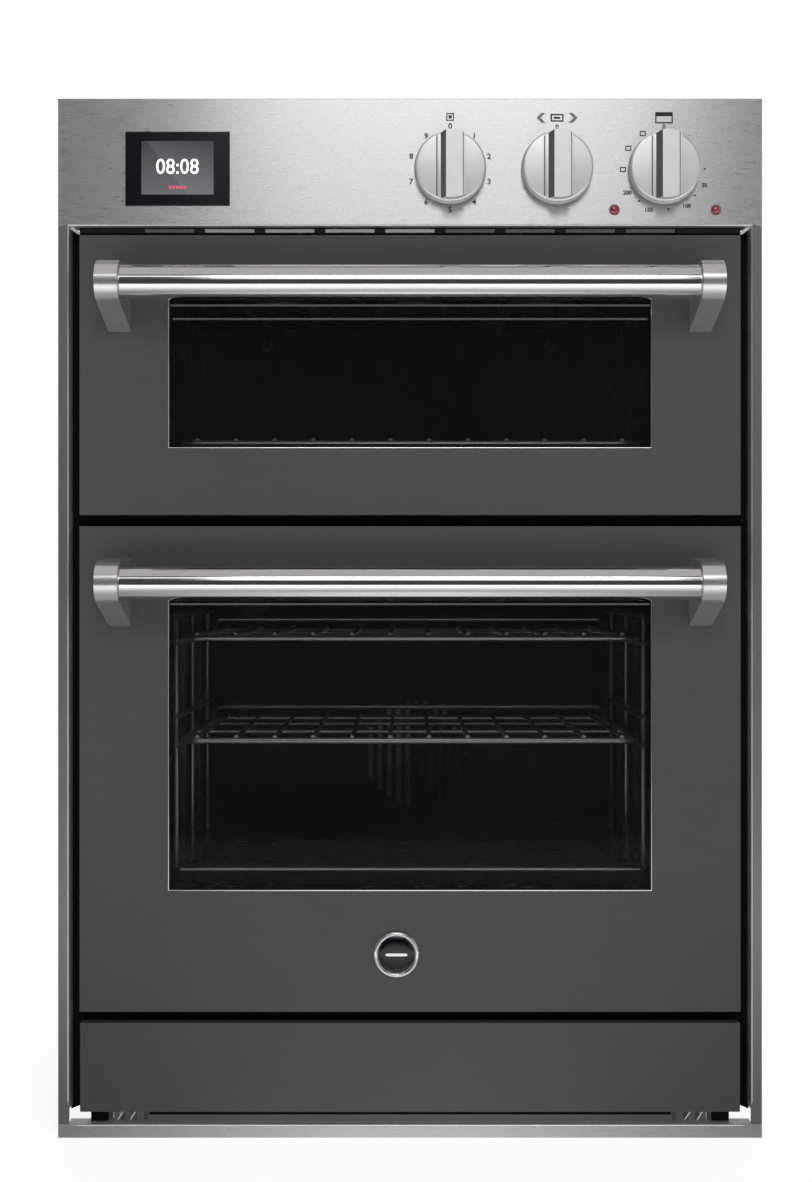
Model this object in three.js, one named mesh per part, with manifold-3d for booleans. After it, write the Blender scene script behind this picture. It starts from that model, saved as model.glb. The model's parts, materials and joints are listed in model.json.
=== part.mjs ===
// Built-in double wall oven, in millimetres.
// +Z is up and the front faces -Y. The origin is at the middle of the bottom of the bounding box.
// Inside the oven group, y is counted from the front face of the fascia: y = 0 is the face, +y goes back.

import * as THREE from 'three';
import { mergeVertices } from 'three/addons/utils/BufferGeometryUtils.js';
import Module from 'manifold-3d';

const wasm = await Module();
wasm.setup();

// ---------------------------------------------------------------- driving dimensions

const WIDTH = 596;
const HEIGHT = 880;
const FASCIA_DEPTH = 20;
const BODY_DEPTH = 550;
const HANDLE_REACH = 60;
const FRONT = HANDLE_REACH - (HANDLE_REACH + FASCIA_DEPTH + BODY_DEPTH) / 2;
const REAR = FASCIA_DEPTH + BODY_DEPTH;

const SHEET = 1.2;
const GAP = 0.3;

const PANEL_HEIGHT = 108.4;
const SIDE_TRIM = 9.5;
const BOTTOM_TRIM = 11.7;
const OPENING_HALF = WIDTH / 2 - SIDE_TRIM;
const OPENING_TOP = HEIGHT - PANEL_HEIGHT;

const BODY_HALF = 278;
const BODY_BOTTOM = 30;
const BODY_TOP = 866;
const FRAME_Y = FASCIA_DEPTH + GAP;
const FRAME_HALF = 290;
const FLANGE_BACK = FRAME_Y + 2;
const FRAME_BOTTOM = 18;
const RECESS_HALF = 264;
const FLANGE_Y = 44;
const FLANGE_HALF = 268;

const DOOR_HALF = 280;
const DOOR_SHELL = 16;
const DOOR_SHEET = 1.5;
const DOOR_BACK = 35.7;
const LINER_HALF = 262;
const WINDOW_HALF = 204;
const PIVOT_Y = 11;
const PIVOT_Z = 6;
const HINGE_X = 245;

const UPPER = {
  name: 'upper_door',
  bottom: 527.5,
  height: 237,
  window: [57.5, 187],
  handle: 191,
  recess: [528.5, 762.2],
};
const LOWER = {
  name: 'lower_door',
  bottom: 106.7,
  height: 411.3,
  window: [103.3, 352],
  handle: 363,
  recess: [107.7, 516.5],
};
const BOTTOM_PANEL = [22, 97.4];

const HANDLE_RADIUS = 14.7;
const CAP_RADIUS = 18.3;
const BRACKET_OUTER = 259.3;
const BRACKET_WIDTH = 19;
const FOOT_HALF = 28.8;
const FOOT_DROP = 7.3;

const CAVITY_HALF = 212;
const CAVITY_BACK = 446;
const UPPER_CAVITY = [563, 735];
const LOWER_CAVITY = [200, 485];

const CONTROL_Z = 820.5;
const KNOB_X = [34, 124.5, 215];
const KNOB_RADIUS = 30.5;
const KNOB_GAP = 2.5;
const KNOB_FACE = 14;
const KNOB_REACH = 26;
const RIDGE_RADIUS = 28.6;
const RIDGE_FOOT = -8.2;
const RIDGE_LEFT = -4;
const RIDGE_RIGHT = 11.5;
const SHAFT_RADIUS = 3;
const DISPLAY_X = -196.8;
const DISPLAY_HALF = [44, 31.2];
const LAMP_X = [173, 259];
const LAMP_Z = 785.8;

const RACK_HALF = 203;
const RACK_FRONT = 60;
const RACK_BACK = 400;
const RACK_BAR = 6;
const RACK_WIRE = 4;
const RACK_WIRES = 12;
const RACK_PITCH = 33.8;
const UPPER_RACK_Z = 592;
const LOWER_RACK_Z = [332, 422];
const TRAY_RIM_Z = 224;

const FAN_X = 8;
const FAN_Z = 295;
const FAN_RADIUS = 70;
const RING_RADIUS = 82;
const GRILLE_RADIUS = 56;
const GRILL_Z = 722;
const GRILL_LEG = 60;
const BLOWER_Y = 420;
const BLOWER_Z = 815;
const BLOWER_RADIUS = 32;
const BLOWER_HALF = 95;

// ---------------------------------------------------------------- finishes

const FINISHES = {
  brushedSteel: { color: 0xbcbcbc, roughness: 0.32, metalness: 1 },
  satinSteel: { color: 0xcfcfcf, roughness: 0.25, metalness: 1 },
  anthracite: { color: 0x484848, roughness: 0.5, metalness: 0.4 },
  blackGlass: { color: 0x0b0b0c, roughness: 0.05, metalness: 0 },
  clearGlass: { color: 0x4b5450, roughness: 0.05, metalness: 0 },
  blackPaint: { color: 0x0d0d0d, roughness: 0.6, metalness: 0 },
  enamel: { color: 0x22252a, roughness: 0.3, metalness: 0 },
  chrome: { color: 0xd8d8d8, roughness: 0.12, metalness: 1 },
  zinc: { color: 0x9aa0a3, roughness: 0.45, metalness: 1 },
  seal: { color: 0x2b2b2b, roughness: 0.9, metalness: 0 },
  wool: { color: 0xd9d2b8, roughness: 1, metalness: 0 },
  darkPlastic: { color: 0x1b1b1c, roughness: 0.5, metalness: 0 },
  redLens: { color: 0xc02018, roughness: 0.15, metalness: 0 },
  element: { color: 0x3c3a38, roughness: 0.6, metalness: 0.6 },
  lampGlass: { color: 0xf2efe6, roughness: 0.1, metalness: 0 },
};

const oven = new THREE.Group();
oven.position.y = FRONT;

// ---------------------------------------------------------------- solids

function solidOf(geometry) {
  geometry.deleteAttribute('normal');
  geometry.deleteAttribute('uv');
  const merged = mergeVertices(geometry, 1e-4);
  return new wasm.Manifold(new wasm.Mesh({
    numProp: 3,
    vertProperties: merged.attributes.position.array,
    triVerts: Uint32Array.from(merged.index.array),
  }));
}

function geometryOf(solid) {
  const mesh = solid.getMesh();
  const geometry = new THREE.BufferGeometry();
  geometry.setAttribute('position', new THREE.BufferAttribute(mesh.vertProperties, 3));
  geometry.setIndex(new THREE.BufferAttribute(mesh.triVerts, 1));
  geometry.computeVertexNormals();
  return geometry;
}

function place(name, solid, finish, parent = oven) {
  const mesh = new THREE.Mesh(geometryOf(solid), new THREE.MeshStandardMaterial(FINISHES[finish]));
  mesh.name = name;
  parent.add(mesh);
  return mesh;
}

function block([x0, x1], [y0, y1], [z0, z1]) {
  const geometry = new THREE.BoxGeometry(x1 - x0, y1 - y0, z1 - z0);
  geometry.translate((x0 + x1) / 2, (y0 + y1) / 2, (z0 + z1) / 2);
  return solidOf(geometry);
}

// A block that is the same on the left and the right of the middle plane.
function slab(half, yRange, zRange) {
  return block([-half, half], yRange, zRange);
}

function rodY(radius, [y0, y1], x, z, sides = 12) {
  const geometry = new THREE.CylinderGeometry(radius, radius, y1 - y0, sides);
  geometry.translate(x, (y0 + y1) / 2, z);
  return solidOf(geometry);
}

function rodX(radius, [x0, x1], y, z, sides = 12) {
  const geometry = new THREE.CylinderGeometry(radius, radius, x1 - x0, sides);
  geometry.rotateZ(Math.PI / 2);
  geometry.translate((x0 + x1) / 2, y, z);
  return solidOf(geometry);
}

// Extrudes an outline drawn in depth and height across the oven, along X.
function acrossX(shape, [x0, x1], curveSegments) {
  const geometry = new THREE.ExtrudeGeometry(shape, { depth: x1 - x0, bevelEnabled: false, curveSegments });
  const toDepth = new THREE.Vector3(0, 1, 0);
  const toHeight = new THREE.Vector3(0, 0, 1);
  const toSide = new THREE.Vector3(1, 0, 0);
  geometry.applyMatrix4(new THREE.Matrix4().makeBasis(toDepth, toHeight, toSide));
  geometry.translate(x0, 0, 0);
  return solidOf(geometry);
}

// A round bar along a path of lines and curves.
function bentBar(path, radius, steps) {
  const section = new THREE.Shape();
  section.absarc(0, 0, radius, 0, Math.PI * 2);
  const options = { steps, extrudePath: path, curveSegments: 3 };
  return solidOf(new THREE.ExtrudeGeometry(section, options));
}

function union(solids) {
  return solids.reduce((joined, solid) => joined.add(solid));
}

function cut(solid, tools) {
  return tools.reduce((rest, tool) => rest.subtract(tool), solid);
}

function grow([low, high], amount) {
  return [low - amount, high + amount];
}

// Mirrored pairs are given by a sign: -1 is the left side and +1 the right.
function sided(sign, [inner, outer]) {
  return sign > 0 ? [inner, outer] : [-outer, -inner];
}

const SIDES = { left: -1, right: 1 };

// ---------------------------------------------------------------- front

function makeFascia() {
  const face = slab(WIDTH / 2, [0, FASCIA_DEPTH], [0, HEIGHT]);
  const doorway = slab(OPENING_HALF, [-1, FASCIA_DEPTH + 1], [BOTTOM_TRIM, OPENING_TOP]);
  const hollow = slab(WIDTH / 2 - SHEET, [SHEET, FASCIA_DEPTH + 1], [SHEET, HEIGHT - SHEET]);
  const fold = slab(OPENING_HALF + SHEET, [0, FASCIA_DEPTH + 2], [BOTTOM_TRIM - SHEET, OPENING_TOP + SHEET]);
  const [halfWide, halfHigh] = DISPLAY_HALF;
  const displayCut = block(
    grow([DISPLAY_X - halfWide, DISPLAY_X + halfWide], GAP),
    [-1, SHEET + 1],
    grow([CONTROL_Z - halfHigh, CONTROL_Z + halfHigh], GAP),
  );
  const shaftHoles = KNOB_X.map((x) => rodY(7.5, [-1, SHEET + 1], x, CONTROL_Z));
  const lampHoles = LAMP_X.map((x) => rodY(4.2, [-1, SHEET + 1], x, LAMP_Z));
  // The folded edges stop short of each other at the bottom corners of the doorway.
  const reliefs = Object.values(SIDES).map((sign) => (
    block(sided(sign, [OPENING_HALF - 1, OPENING_HALF + SHEET]), [SHEET, FASCIA_DEPTH + 1], [BOTTOM_TRIM, 24.5])
  ));
  const openings = [doorway, hollow.subtract(fold), displayCut];
  const sheet = cut(face, [...openings, ...reliefs, ...shaftHoles, ...lampHoles]);
  place('front_fascia', sheet, 'brushedSteel');
}

function makeTopVent() {
  const slotLength = 42;
  const slotPitch = 51;
  const slots = 9;
  const half = 280.5;
  const lowEdge = OPENING_TOP - 5;
  const highEdge = OPENING_TOP - GAP;
  const strip = slab(half, [5, 5 + SHEET], [lowEdge, highEdge]);
  const shelf = slab(half, [5, FASCIA_DEPTH - GAP], [highEdge - SHEET, highEdge]);
  const cuts = [];
  for (let i = 0; i < slots; i += 1) {
    const middle = (i - (slots - 1) / 2) * slotPitch;
    const span = [middle - slotLength / 2, middle + slotLength / 2];
    cuts.push(block(span, [4, 6.5], [lowEdge + 0.9, highEdge - SHEET - 0.2]));
  }
  place('top_vent_grille', cut(strip.add(shelf), cuts), 'zinc');
}

function makePlinthGrille() {
  const half = 271.5;
  const lowEdge = BOTTOM_TRIM + GAP;
  const highEdge = BOTTOM_PANEL[0] - GAP;
  const strip = slab(half, [10, 10 + SHEET], [lowEdge, highEdge]);
  const shelf = slab(half, [10, FASCIA_DEPTH], [highEdge - SHEET, highEdge]);
  const cuts = [];
  for (const sign of Object.values(SIDES)) {
    for (const inner of [222, 232, 242, 252]) {
      cuts.push(block(sided(sign, [inner, inner + 5]), [9, 12], [lowEdge + 1, highEdge - SHEET - 0.6]));
    }
  }
  place('plinth_grille', cut(strip.add(shelf), cuts), 'zinc');
}

function makeBottomPanel() {
  const half = DOOR_HALF - 0.5;
  const [low, high] = BOTTOM_PANEL;
  const shell = slab(half, [0, DOOR_SHELL], [low, high]);
  const hollow = slab(half - DOOR_SHEET, [DOOR_SHEET, DOOR_SHELL + 1], [low + DOOR_SHEET, high - DOOR_SHEET]);
  const posts = Object.values(SIDES).map((sign) => (
    block(sided(sign, [200, 224]), [DOOR_SHEET - 0.5, FASCIA_DEPTH], [45, 75])
  ));
  place('bottom_panel', union([shell.subtract(hollow), ...posts]), 'anthracite');
}

// Arm that carries a door: it reaches forward from the frame and holds the hinge pin.
function hingeArm(sign, bottom) {
  const pivotZ = bottom + PIVOT_Z;
  const blade = sided(sign, [HINGE_X - 1.5, HINGE_X + 1.5]);
  return union([
    block(blade, [PIVOT_Y, FLANGE_Y - GAP], [pivotZ - 3.5, pivotZ + 4]),
    rodX(4, blade, PIVOT_Y, pivotZ, 8),
    rodX(2.5, sided(sign, [HINGE_X - 5, HINGE_X + 5]), PIVOT_Y, pivotZ),
    block(sided(sign, [HINGE_X - 7, HINGE_X + 7]), [37, FLANGE_Y - GAP], [bottom, pivotZ + 4]),
  ]);
}

// A short bar through the frame, leaning in the plane of the front.
function slantedBlock(length, thickness, x, z, lean) {
  const bar = block([-length / 2, length / 2], [FRAME_Y - 1, FLANGE_BACK + 1], [-thickness / 2, thickness / 2]);
  return bar.rotate([0, lean, 0]).translate([x, 0, z]);
}

function makeFrontFrame() {
  const plateTop = 790;
  const screwX = 284;
  const outletHalf = BLOWER_HALF;
  const plateY = [FRAME_Y, FRAME_Y + 1.5];
  const plate = slab(FRAME_HALF, plateY, [FRAME_BOTTOM, plateTop]);
  const doors = [UPPER, LOWER];
  const collars = doors.map((door) => (
    slab(RECESS_HALF + SHEET, [FRAME_Y + 1, FLANGE_Y - GAP], grow(door.recess, SHEET))
  ));
  const recesses = doors.map((door) => slab(RECESS_HALF, [FRAME_Y - 1, FLANGE_Y + 1], door.recess));
  const outlet = slab(outletHalf, [FRAME_Y - 1, FRAME_Y + 3], [765.5, OPENING_TOP]);
  // The outer strips are pressed back a little, so that they alone meet the cabinet.
  const strips = Object.values(SIDES).map((sign) => (
    block(sided(sign, [BODY_HALF + 0.6, FRAME_HALF]), [FRAME_Y, FLANGE_BACK], [FRAME_BOTTOM, plateTop])
  ));
  const screws = [];
  for (const sign of Object.values(SIDES)) {
    for (const z of [70, 523]) {
      screws.push(rodY(2.3, [FRAME_Y - 1, FRAME_Y + 3], sign * screwX, z, 8));
    }
  }
  // A slanted slit in each top corner and a slanted cut across each bottom corner.
  const slants = Object.values(SIDES).flatMap((sign) => [
    slantedBlock(12, 2.2, sign * (OPENING_HALF - 1), 774.5, sign * -36),
    slantedBlock(24, 8, sign * (OPENING_HALF - 2), FRAME_BOTTOM - 1, sign * 22),
  ]);
  const frame = cut(union([plate, ...strips, ...collars]), [...recesses, outlet, ...screws, ...slants]);
  const arms = doors.flatMap((door) => Object.values(SIDES).map((sign) => hingeArm(sign, door.bottom)));
  place('front_frame', union([frame, ...arms]), 'blackPaint');
}

// ---------------------------------------------------------------- doors

// The slot that lets a hinge arm swing inside the door, open to the back and to the bottom.
function hingeSlot(sign, yRange, zRange) {
  return block(sided(sign, [HINGE_X - 3, HINGE_X + 3]), yRange, zRange);
}

function doorPanel(door) {
  const shell = slab(DOOR_HALF, [0, DOOR_SHELL], [0, door.height]);
  const hollow = slab(
    DOOR_HALF - DOOR_SHEET,
    [DOOR_SHEET, DOOR_SHELL + 1],
    [DOOR_SHEET, door.height - DOOR_SHEET],
  );
  const window = slab(WINDOW_HALF, [-1, DOOR_SHEET + 1], door.window);
  const slots = Object.values(SIDES).map((sign) => hingeSlot(sign, [5, DOOR_SHELL + 1], [-1, 3]));
  return cut(shell, [hollow, window, ...slots]);
}

function doorLiner(door) {
  const front = DOOR_SHELL + GAP;
  const outer = slab(LINER_HALF, [front, DOOR_BACK], [3, door.height - 4]);
  const hollow = slab(
    LINER_HALF - SHEET,
    [front - 1, DOOR_BACK - SHEET],
    [3 + SHEET, door.height - 4 - SHEET],
  );
  const window = slab(WINDOW_HALF + 3, [front, DOOR_BACK + 1], grow(door.window, 3));
  const slots = Object.values(SIDES).map((sign) => hingeSlot(sign, [front - 1, DOOR_BACK + 1], [2, 12]));
  return cut(outer, [hollow, window, ...slots]);
}

function doorHinge(sign) {
  const body = block(
    sided(sign, [HINGE_X - 6.5, HINGE_X + 6.5]),
    [DOOR_SHEET + GAP, DOOR_SHELL - GAP],
    [DOOR_SHEET + GAP, 70],
  );
  const bore = rodX(3, sided(sign, [HINGE_X - 8, HINGE_X + 8]), PIVOT_Y, PIVOT_Z);
  const slot = block(sided(sign, [HINGE_X - 2.5, HINGE_X + 2.5]), [5.5, DOOR_SHELL + 1], [0, 12]);
  return cut(body, [slot, bore]);
}

// Handle bracket: a round cap over the end of the bar, whose flanks run straight back to a tall foot.
function bracketOutline(handleZ) {
  const barY = CAP_RADIUS - HANDLE_REACH;
  const footY = -GAP;
  const footZ = handleZ - FOOT_DROP;
  const shape = new THREE.Shape();
  shape.moveTo(footY, footZ - FOOT_HALF);
  shape.lineTo(footY, footZ + FOOT_HALF);
  shape.lineTo(barY, handleZ + CAP_RADIUS);
  shape.absarc(barY, handleZ, CAP_RADIUS, Math.PI / 2, Math.PI * 1.384, false);
  shape.lineTo(footY, footZ - FOOT_HALF);
  return shape;
}

function makeDoor(door) {
  const group = new THREE.Group();
  group.position.z = door.bottom;
  oven.add(group);
  place(`${door.name}_panel`, doorPanel(door), 'anthracite', group);
  const glassHalf = WINDOW_HALF + 9.5;
  const glassHeight = grow(door.window, 9.5);
  const outerGlass = slab(glassHalf, [DOOR_SHEET + GAP, DOOR_SHEET + GAP + 4], glassHeight);
  place(`${door.name}_outer_glass`, outerGlass, 'blackGlass', group);
  place(`${door.name}_inner_frame`, doorLiner(door), 'enamel', group);
  const innerBack = DOOR_BACK - SHEET - GAP;
  const innerGlass = slab(glassHalf, [innerBack - 4, innerBack], glassHeight);
  place(`${door.name}_inner_glass`, innerGlass, 'clearGlass', group);
  const barEnd = BRACKET_OUTER - BRACKET_WIDTH - GAP;
  const barY = CAP_RADIUS - HANDLE_REACH;
  const bar = rodX(HANDLE_RADIUS, [-barEnd, barEnd], barY, door.handle, 24);
  const bore = rodX(HANDLE_RADIUS - 2, [-barEnd - 1, barEnd + 1], barY, door.handle, 12);
  place(`${door.name}_handle_bar`, bar.subtract(bore), 'satinSteel', group);
  for (const [side, sign] of Object.entries(SIDES)) {
    const span = sided(sign, [BRACKET_OUTER - BRACKET_WIDTH, BRACKET_OUTER]);
    const bracket = acrossX(bracketOutline(door.handle), span, 8);
    place(`${door.name}_bracket_${side}`, bracket, 'satinSteel', group);
    place(`${door.name}_hinge_${side}`, doorHinge(sign), 'zinc', group);
  }
}

function makeBadge() {
  const badgeX = -11.5;
  const badgeZ = 155.4;
  const disc = rodY(19.2, [-3, -GAP], badgeX, badgeZ, 32);
  place('door_badge', disc, 'chrome');
}

// ---------------------------------------------------------------- controls

// Grip ridge of a knob: a band of the round face, upright on the right and sloped on the left.
function knobRidge(x) {
  const top = Math.acos(RIDGE_RIGHT / RIDGE_RADIUS);
  const left = Math.acos(RIDGE_FOOT / RIDGE_RADIUS);
  const band = new THREE.Shape();
  band.absarc(0, 0, RIDGE_RADIUS, top, left, false);
  band.absarc(0, 0, RIDGE_RADIUS, -left, -top, false);
  band.closePath();
  const height = KNOB_REACH - KNOB_FACE + 1;
  const geometry = new THREE.ExtrudeGeometry(band, { depth: height, bevelEnabled: false, curveSegments: 3 });
  const toSide = new THREE.Vector3(1, 0, 0);
  const toHeight = new THREE.Vector3(0, 0, 1);
  const toFront = new THREE.Vector3(0, -1, 0);
  geometry.applyMatrix4(new THREE.Matrix4().makeBasis(toSide, toHeight, toFront));
  geometry.translate(0, 1 - KNOB_FACE, 0);
  const run = RIDGE_LEFT - RIDGE_FOOT;
  const rise = KNOB_REACH - KNOB_FACE;
  const wedge = new THREE.Shape();
  wedge.moveTo(RIDGE_FOOT, -KNOB_FACE);
  wedge.lineTo(RIDGE_FOOT - run, -KNOB_FACE);
  wedge.lineTo(RIDGE_FOOT - run, -KNOB_REACH - rise);
  wedge.lineTo(RIDGE_LEFT + run, -KNOB_REACH - rise);
  wedge.closePath();
  const slope = new THREE.ExtrudeGeometry(wedge, { depth: 2 * KNOB_RADIUS, bevelEnabled: false });
  slope.translate(0, 0, -KNOB_RADIUS);
  return solidOf(geometry).subtract(solidOf(slope)).translate([x, 0, CONTROL_Z]);
}

function knobBody(x, shaftEnd) {
  const profile = [
    [0, -KNOB_GAP],
    [KNOB_RADIUS, -KNOB_GAP],
    [KNOB_RADIUS - 1.4, -KNOB_FACE],
    [0, -KNOB_FACE],
  ].map(([radius, y]) => new THREE.Vector2(radius, y));
  const disc = new THREE.LatheGeometry(profile.reverse(), 24);
  disc.translate(x, 0, CONTROL_Z);
  const shaft = rodY(SHAFT_RADIUS, [-KNOB_GAP - 1, shaftEnd], x, CONTROL_Z);
  return union([solidOf(disc), knobRidge(x), shaft]);
}

function switchBox(x, half, depth, boreRadius) {
  const box = block([x - half, x + half], [2, depth], [CONTROL_Z - half, CONTROL_Z + half]);
  return box.subtract(rodY(boreRadius, [1, depth - 4], x, CONTROL_Z));
}

function makeKnobs() {
  const [functionX, clockX, thermostatX] = KNOB_X;
  place('function_knob', knobBody(functionX, 26), 'satinSteel');
  place('function_switch', switchBox(functionX, 22, 34, 3.6), 'darkPlastic');
  place('thermostat_knob', knobBody(thermostatX, 26), 'satinSteel');
  place('thermostat', switchBox(thermostatX, 20, 40, 3.6), 'zinc');
  place('clock_knob', knobBody(clockX, 18), 'satinSteel');
  place('clock_encoder', switchBox(clockX, 18, 38, 6.8), 'darkPlastic');
  const sleeve = rodY(6, [5, 22], clockX, CONTROL_Z).subtract(rodY(3.5, [4, 23], clockX, CONTROL_Z));
  place('clock_shaft', sleeve, 'zinc');
}

function makeDisplay() {
  const [halfWide, halfHigh] = DISPLAY_HALF;
  const across = (half) => [DISPLAY_X - half, DISPLAY_X + half];
  const upward = (half) => [CONTROL_Z - half, CONTROL_Z + half];
  place('display_glass', block(across(halfWide), [-0.6, 2.4], upward(halfHigh)), 'blackGlass');
  const screen = block(across(38), [2.7, 16], upward(26));
  const board = block(across(64), [15.5, 17.1], upward(33));
  place('display_board', screen.add(board), 'darkPlastic');
}

function makeIndicators() {
  const names = ['indicator_lens_left', 'indicator_lens_right'];
  LAMP_X.forEach((x, i) => {
    const lens = rodY(3.8, [-1.2, 8], x, LAMP_Z).add(rodY(5.5, [SHEET + GAP, 4], x, LAMP_Z));
    place(names[i], lens, 'redLens');
  });
}

// ---------------------------------------------------------------- outer body

function makeSidePanels() {
  const y = [FRAME_Y + 1.8, 547.7];
  for (const [side, sign] of Object.entries(SIDES)) {
    const wall = block(sided(sign, [BODY_HALF - SHEET, BODY_HALF]), y, [BODY_BOTTOM, BODY_TOP]);
    const frontFold = block(sided(sign, [267, BODY_HALF]), [y[0], y[0] + SHEET], [32, 864]);
    const rearFold = block(sided(sign, [267, BODY_HALF]), [y[1] - SHEET, y[1]], [32, 864]);
    place(`side_panel_${side}`, union([wall, frontFold, rearFold]), 'zinc');
  }
}

function makeTopCover() {
  const half = BODY_HALF - SHEET - GAP;
  const plate = slab(half, [FRAME_Y + 1.8, 547.7], [BODY_TOP - SHEET, BODY_TOP]);
  const slots = [];
  for (let i = 0; i < 8; i += 1) {
    const x = (i - 3.5) * 40;
    slots.push(block([x - 4, x + 4], [400, 470], [BODY_TOP - 3, BODY_TOP + 1]));
  }
  place('top_cover', cut(plate, slots), 'zinc');
}

// Base plate with two folded skids that the oven stands on.
function makeBaseTray() {
  const half = BODY_HALF - SHEET - GAP;
  const plate = slab(half, [FRAME_Y + 1.8, 547.7], [BODY_BOTTOM, BODY_BOTTOM + SHEET]);
  const skids = Object.values(SIDES).map((sign) => {
    const outer = block(sided(sign, [200, 250]), [60, 520], [0, BODY_BOTTOM + 0.5]);
    const inner = block(sided(sign, [210, 240]), [61.5, 518.5], [-1, BODY_BOTTOM - 1.5]);
    return outer.subtract(inner);
  });
  place('base_tray', union([plate, ...skids]), 'zinc');
}

function makeRearCover() {
  const plateY = [548, 549.2];
  const bulgeHalf = 120;
  const bulgeZ = [190, 410];
  const plate = slab(BODY_HALF, plateY, [BODY_BOTTOM, BODY_TOP]);
  const bulge = slab(bulgeHalf, [plateY[0], REAR], bulgeZ);
  const hollow = slab(bulgeHalf - SHEET, [547, REAR - SHEET], grow(bulgeZ, -SHEET));
  const slots = [];
  for (let i = 0; i < 6; i += 1) {
    const x = (i - 2.5) * 32;
    slots.push(block([x - 5, x + 5], [REAR - 3, REAR + 1], [240, 360]));
    slots.push(block([x - 5, x + 5], [547, 551], [760, 830]));
  }
  const glandHole = rodY(9, [547, 551], 200, 120);
  place('rear_cover', cut(plate.add(bulge), [hollow, glandHole, ...slots]), 'zinc');
}

function makeCableGland() {
  const nut = rodY(15, [549.5, 557], 200, 120, 6);
  const dome = rodY(11, [556.5, 568], 200, 120, 16);
  const neck = rodY(8, [538, 550], 200, 120, 16);
  const bore = rodY(5.5, [537, 569], 200, 120, 12);
  place('cable_gland', union([nut, dome, neck]).subtract(bore), 'darkPlastic');
}

// ---------------------------------------------------------------- cavities

function cavityShell([low, high], flangeZ) {
  const flange = slab(FLANGE_HALF, [FLANGE_Y, FLANGE_Y + SHEET], flangeZ);
  const outer = slab(CAVITY_HALF + SHEET, [FLANGE_Y, CAVITY_BACK + SHEET], [low - SHEET, high + SHEET]);
  const inner = slab(CAVITY_HALF, [FLANGE_Y - 1, CAVITY_BACK], [low, high]);
  return flange.add(outer).subtract(inner);
}

function rearHole(radius, x, z) {
  return rodY(radius, [CAVITY_BACK - 2, CAVITY_BACK + 3], x, z);
}

const LAMP = { x: -165, z: 455 };
const GRILL_ENDS = GRILL_LEG * 2.5;
const RING_END = 14;

function makeUpperCavity() {
  const shell = cavityShell(UPPER_CAVITY, [523.6, 764]);
  const runners = [];
  for (const sign of Object.values(SIDES)) {
    for (const z of [UPPER_RACK_Z - 6.8, UPPER_RACK_Z + 18]) {
      runners.push(block(sided(sign, [CAVITY_HALF - 9, CAVITY_HALF + 0.5]), [75, 400], [z, z + 3]));
    }
  }
  const holes = Object.values(SIDES).map((sign) => rearHole(5.5, sign * GRILL_ENDS, GRILL_Z));
  place('upper_cavity', cut(union([shell, ...runners]), holes), 'enamel');
}

function makeLowerCavity() {
  const shell = cavityShell(LOWER_CAVITY, [104, 523.3]);
  const ringTop = FAN_Z + RING_RADIUS;
  const holes = [
    rearHole(7, FAN_X, FAN_Z),
    rearHole(5.5, FAN_X - RING_END, ringTop),
    rearHole(5.5, FAN_X + RING_END, ringTop),
    rearHole(14, LAMP.x, LAMP.z),
  ];
  place('lower_cavity', cut(shell, holes), 'enamel');
}

function makeInsulation() {
  const y = [FLANGE_Y + SHEET + 1, 470];
  const wrap = slab(240, y, [178, 758]);
  const room = CAVITY_HALF + SHEET + GAP;
  const pockets = [UPPER_CAVITY, LOWER_CAVITY].map((range) => (
    slab(room, [y[0] - 1, CAVITY_BACK + SHEET + GAP], grow(range, SHEET + GAP))
  ));
  const holes = [
    rodY(12, [440, 471], FAN_X, FAN_Z),
    rodY(16, [440, 471], LAMP.x, LAMP.z),
  ];
  place('insulation', cut(wrap, [...pockets, ...holes]), 'wool');
}

function makeGasket(name, [low, high]) {
  const y = [36, FLANGE_Y - GAP];
  const outer = slab(CAVITY_HALF + 12, y, [low - 12, high + 12]);
  const inner = slab(CAVITY_HALF + 4, [35, FLANGE_Y], [low - 4, high + 4]);
  place(name, outer.subtract(inner), 'seal');
}

// Heating bar of the grill: legs side by side, joined by half circles.
function makeGrillElement() {
  const path = new THREE.CurvePath();
  const legs = 6;
  const frontY = 140;
  const backY = 340;
  const point = (x, y) => new THREE.Vector3(x, y, GRILL_Z);
  const tail = CAVITY_BACK + SHEET + 0.2;
  for (let i = 0; i < legs; i += 1) {
    const x = -GRILL_ENDS + i * GRILL_LEG;
    const start = i === 0 ? tail : (i % 2 ? frontY : backY);
    const end = i === legs - 1 ? tail : (i % 2 ? backY : frontY);
    path.add(new THREE.LineCurve3(point(x, start), point(x, end)));
    if (i < legs - 1) {
      const bulge = end + (i % 2 ? GRILL_LEG : -GRILL_LEG) * 0.66;
      path.add(new THREE.CubicBezierCurve3(
        point(x, end),
        point(x, bulge),
        point(x + GRILL_LEG, bulge),
        point(x + GRILL_LEG, end),
      ));
    }
  }
  place('upper_grill_element', bentBar(path, 3.5, 64), 'element');
}

// Ring element round the fan, with both ends running back through the rear wall.
function makeRingElement() {
  const ringY = 428;
  const gapAngle = Math.asin(RING_END / RING_RADIUS);
  const points = [];
  const segments = 24;
  for (let i = 0; i <= segments; i += 1) {
    const angle = gapAngle + (2 * Math.PI - 2 * gapAngle) * (i / segments);
    points.push(new THREE.Vector3(
      FAN_X + RING_RADIUS * Math.sin(angle),
      ringY,
      FAN_Z + RING_RADIUS * Math.cos(angle),
    ));
  }
  const tail = CAVITY_BACK + SHEET + 0.2;
  const first = points[0].clone().setY(tail);
  const last = points[segments].clone().setY(tail);
  const path = new THREE.CatmullRomCurve3([first, ...points, last], false, 'centripetal');
  place('ring_element', bentBar(path, 3.5, 40), 'element');
}

// ---------------------------------------------------------------- fans

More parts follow.
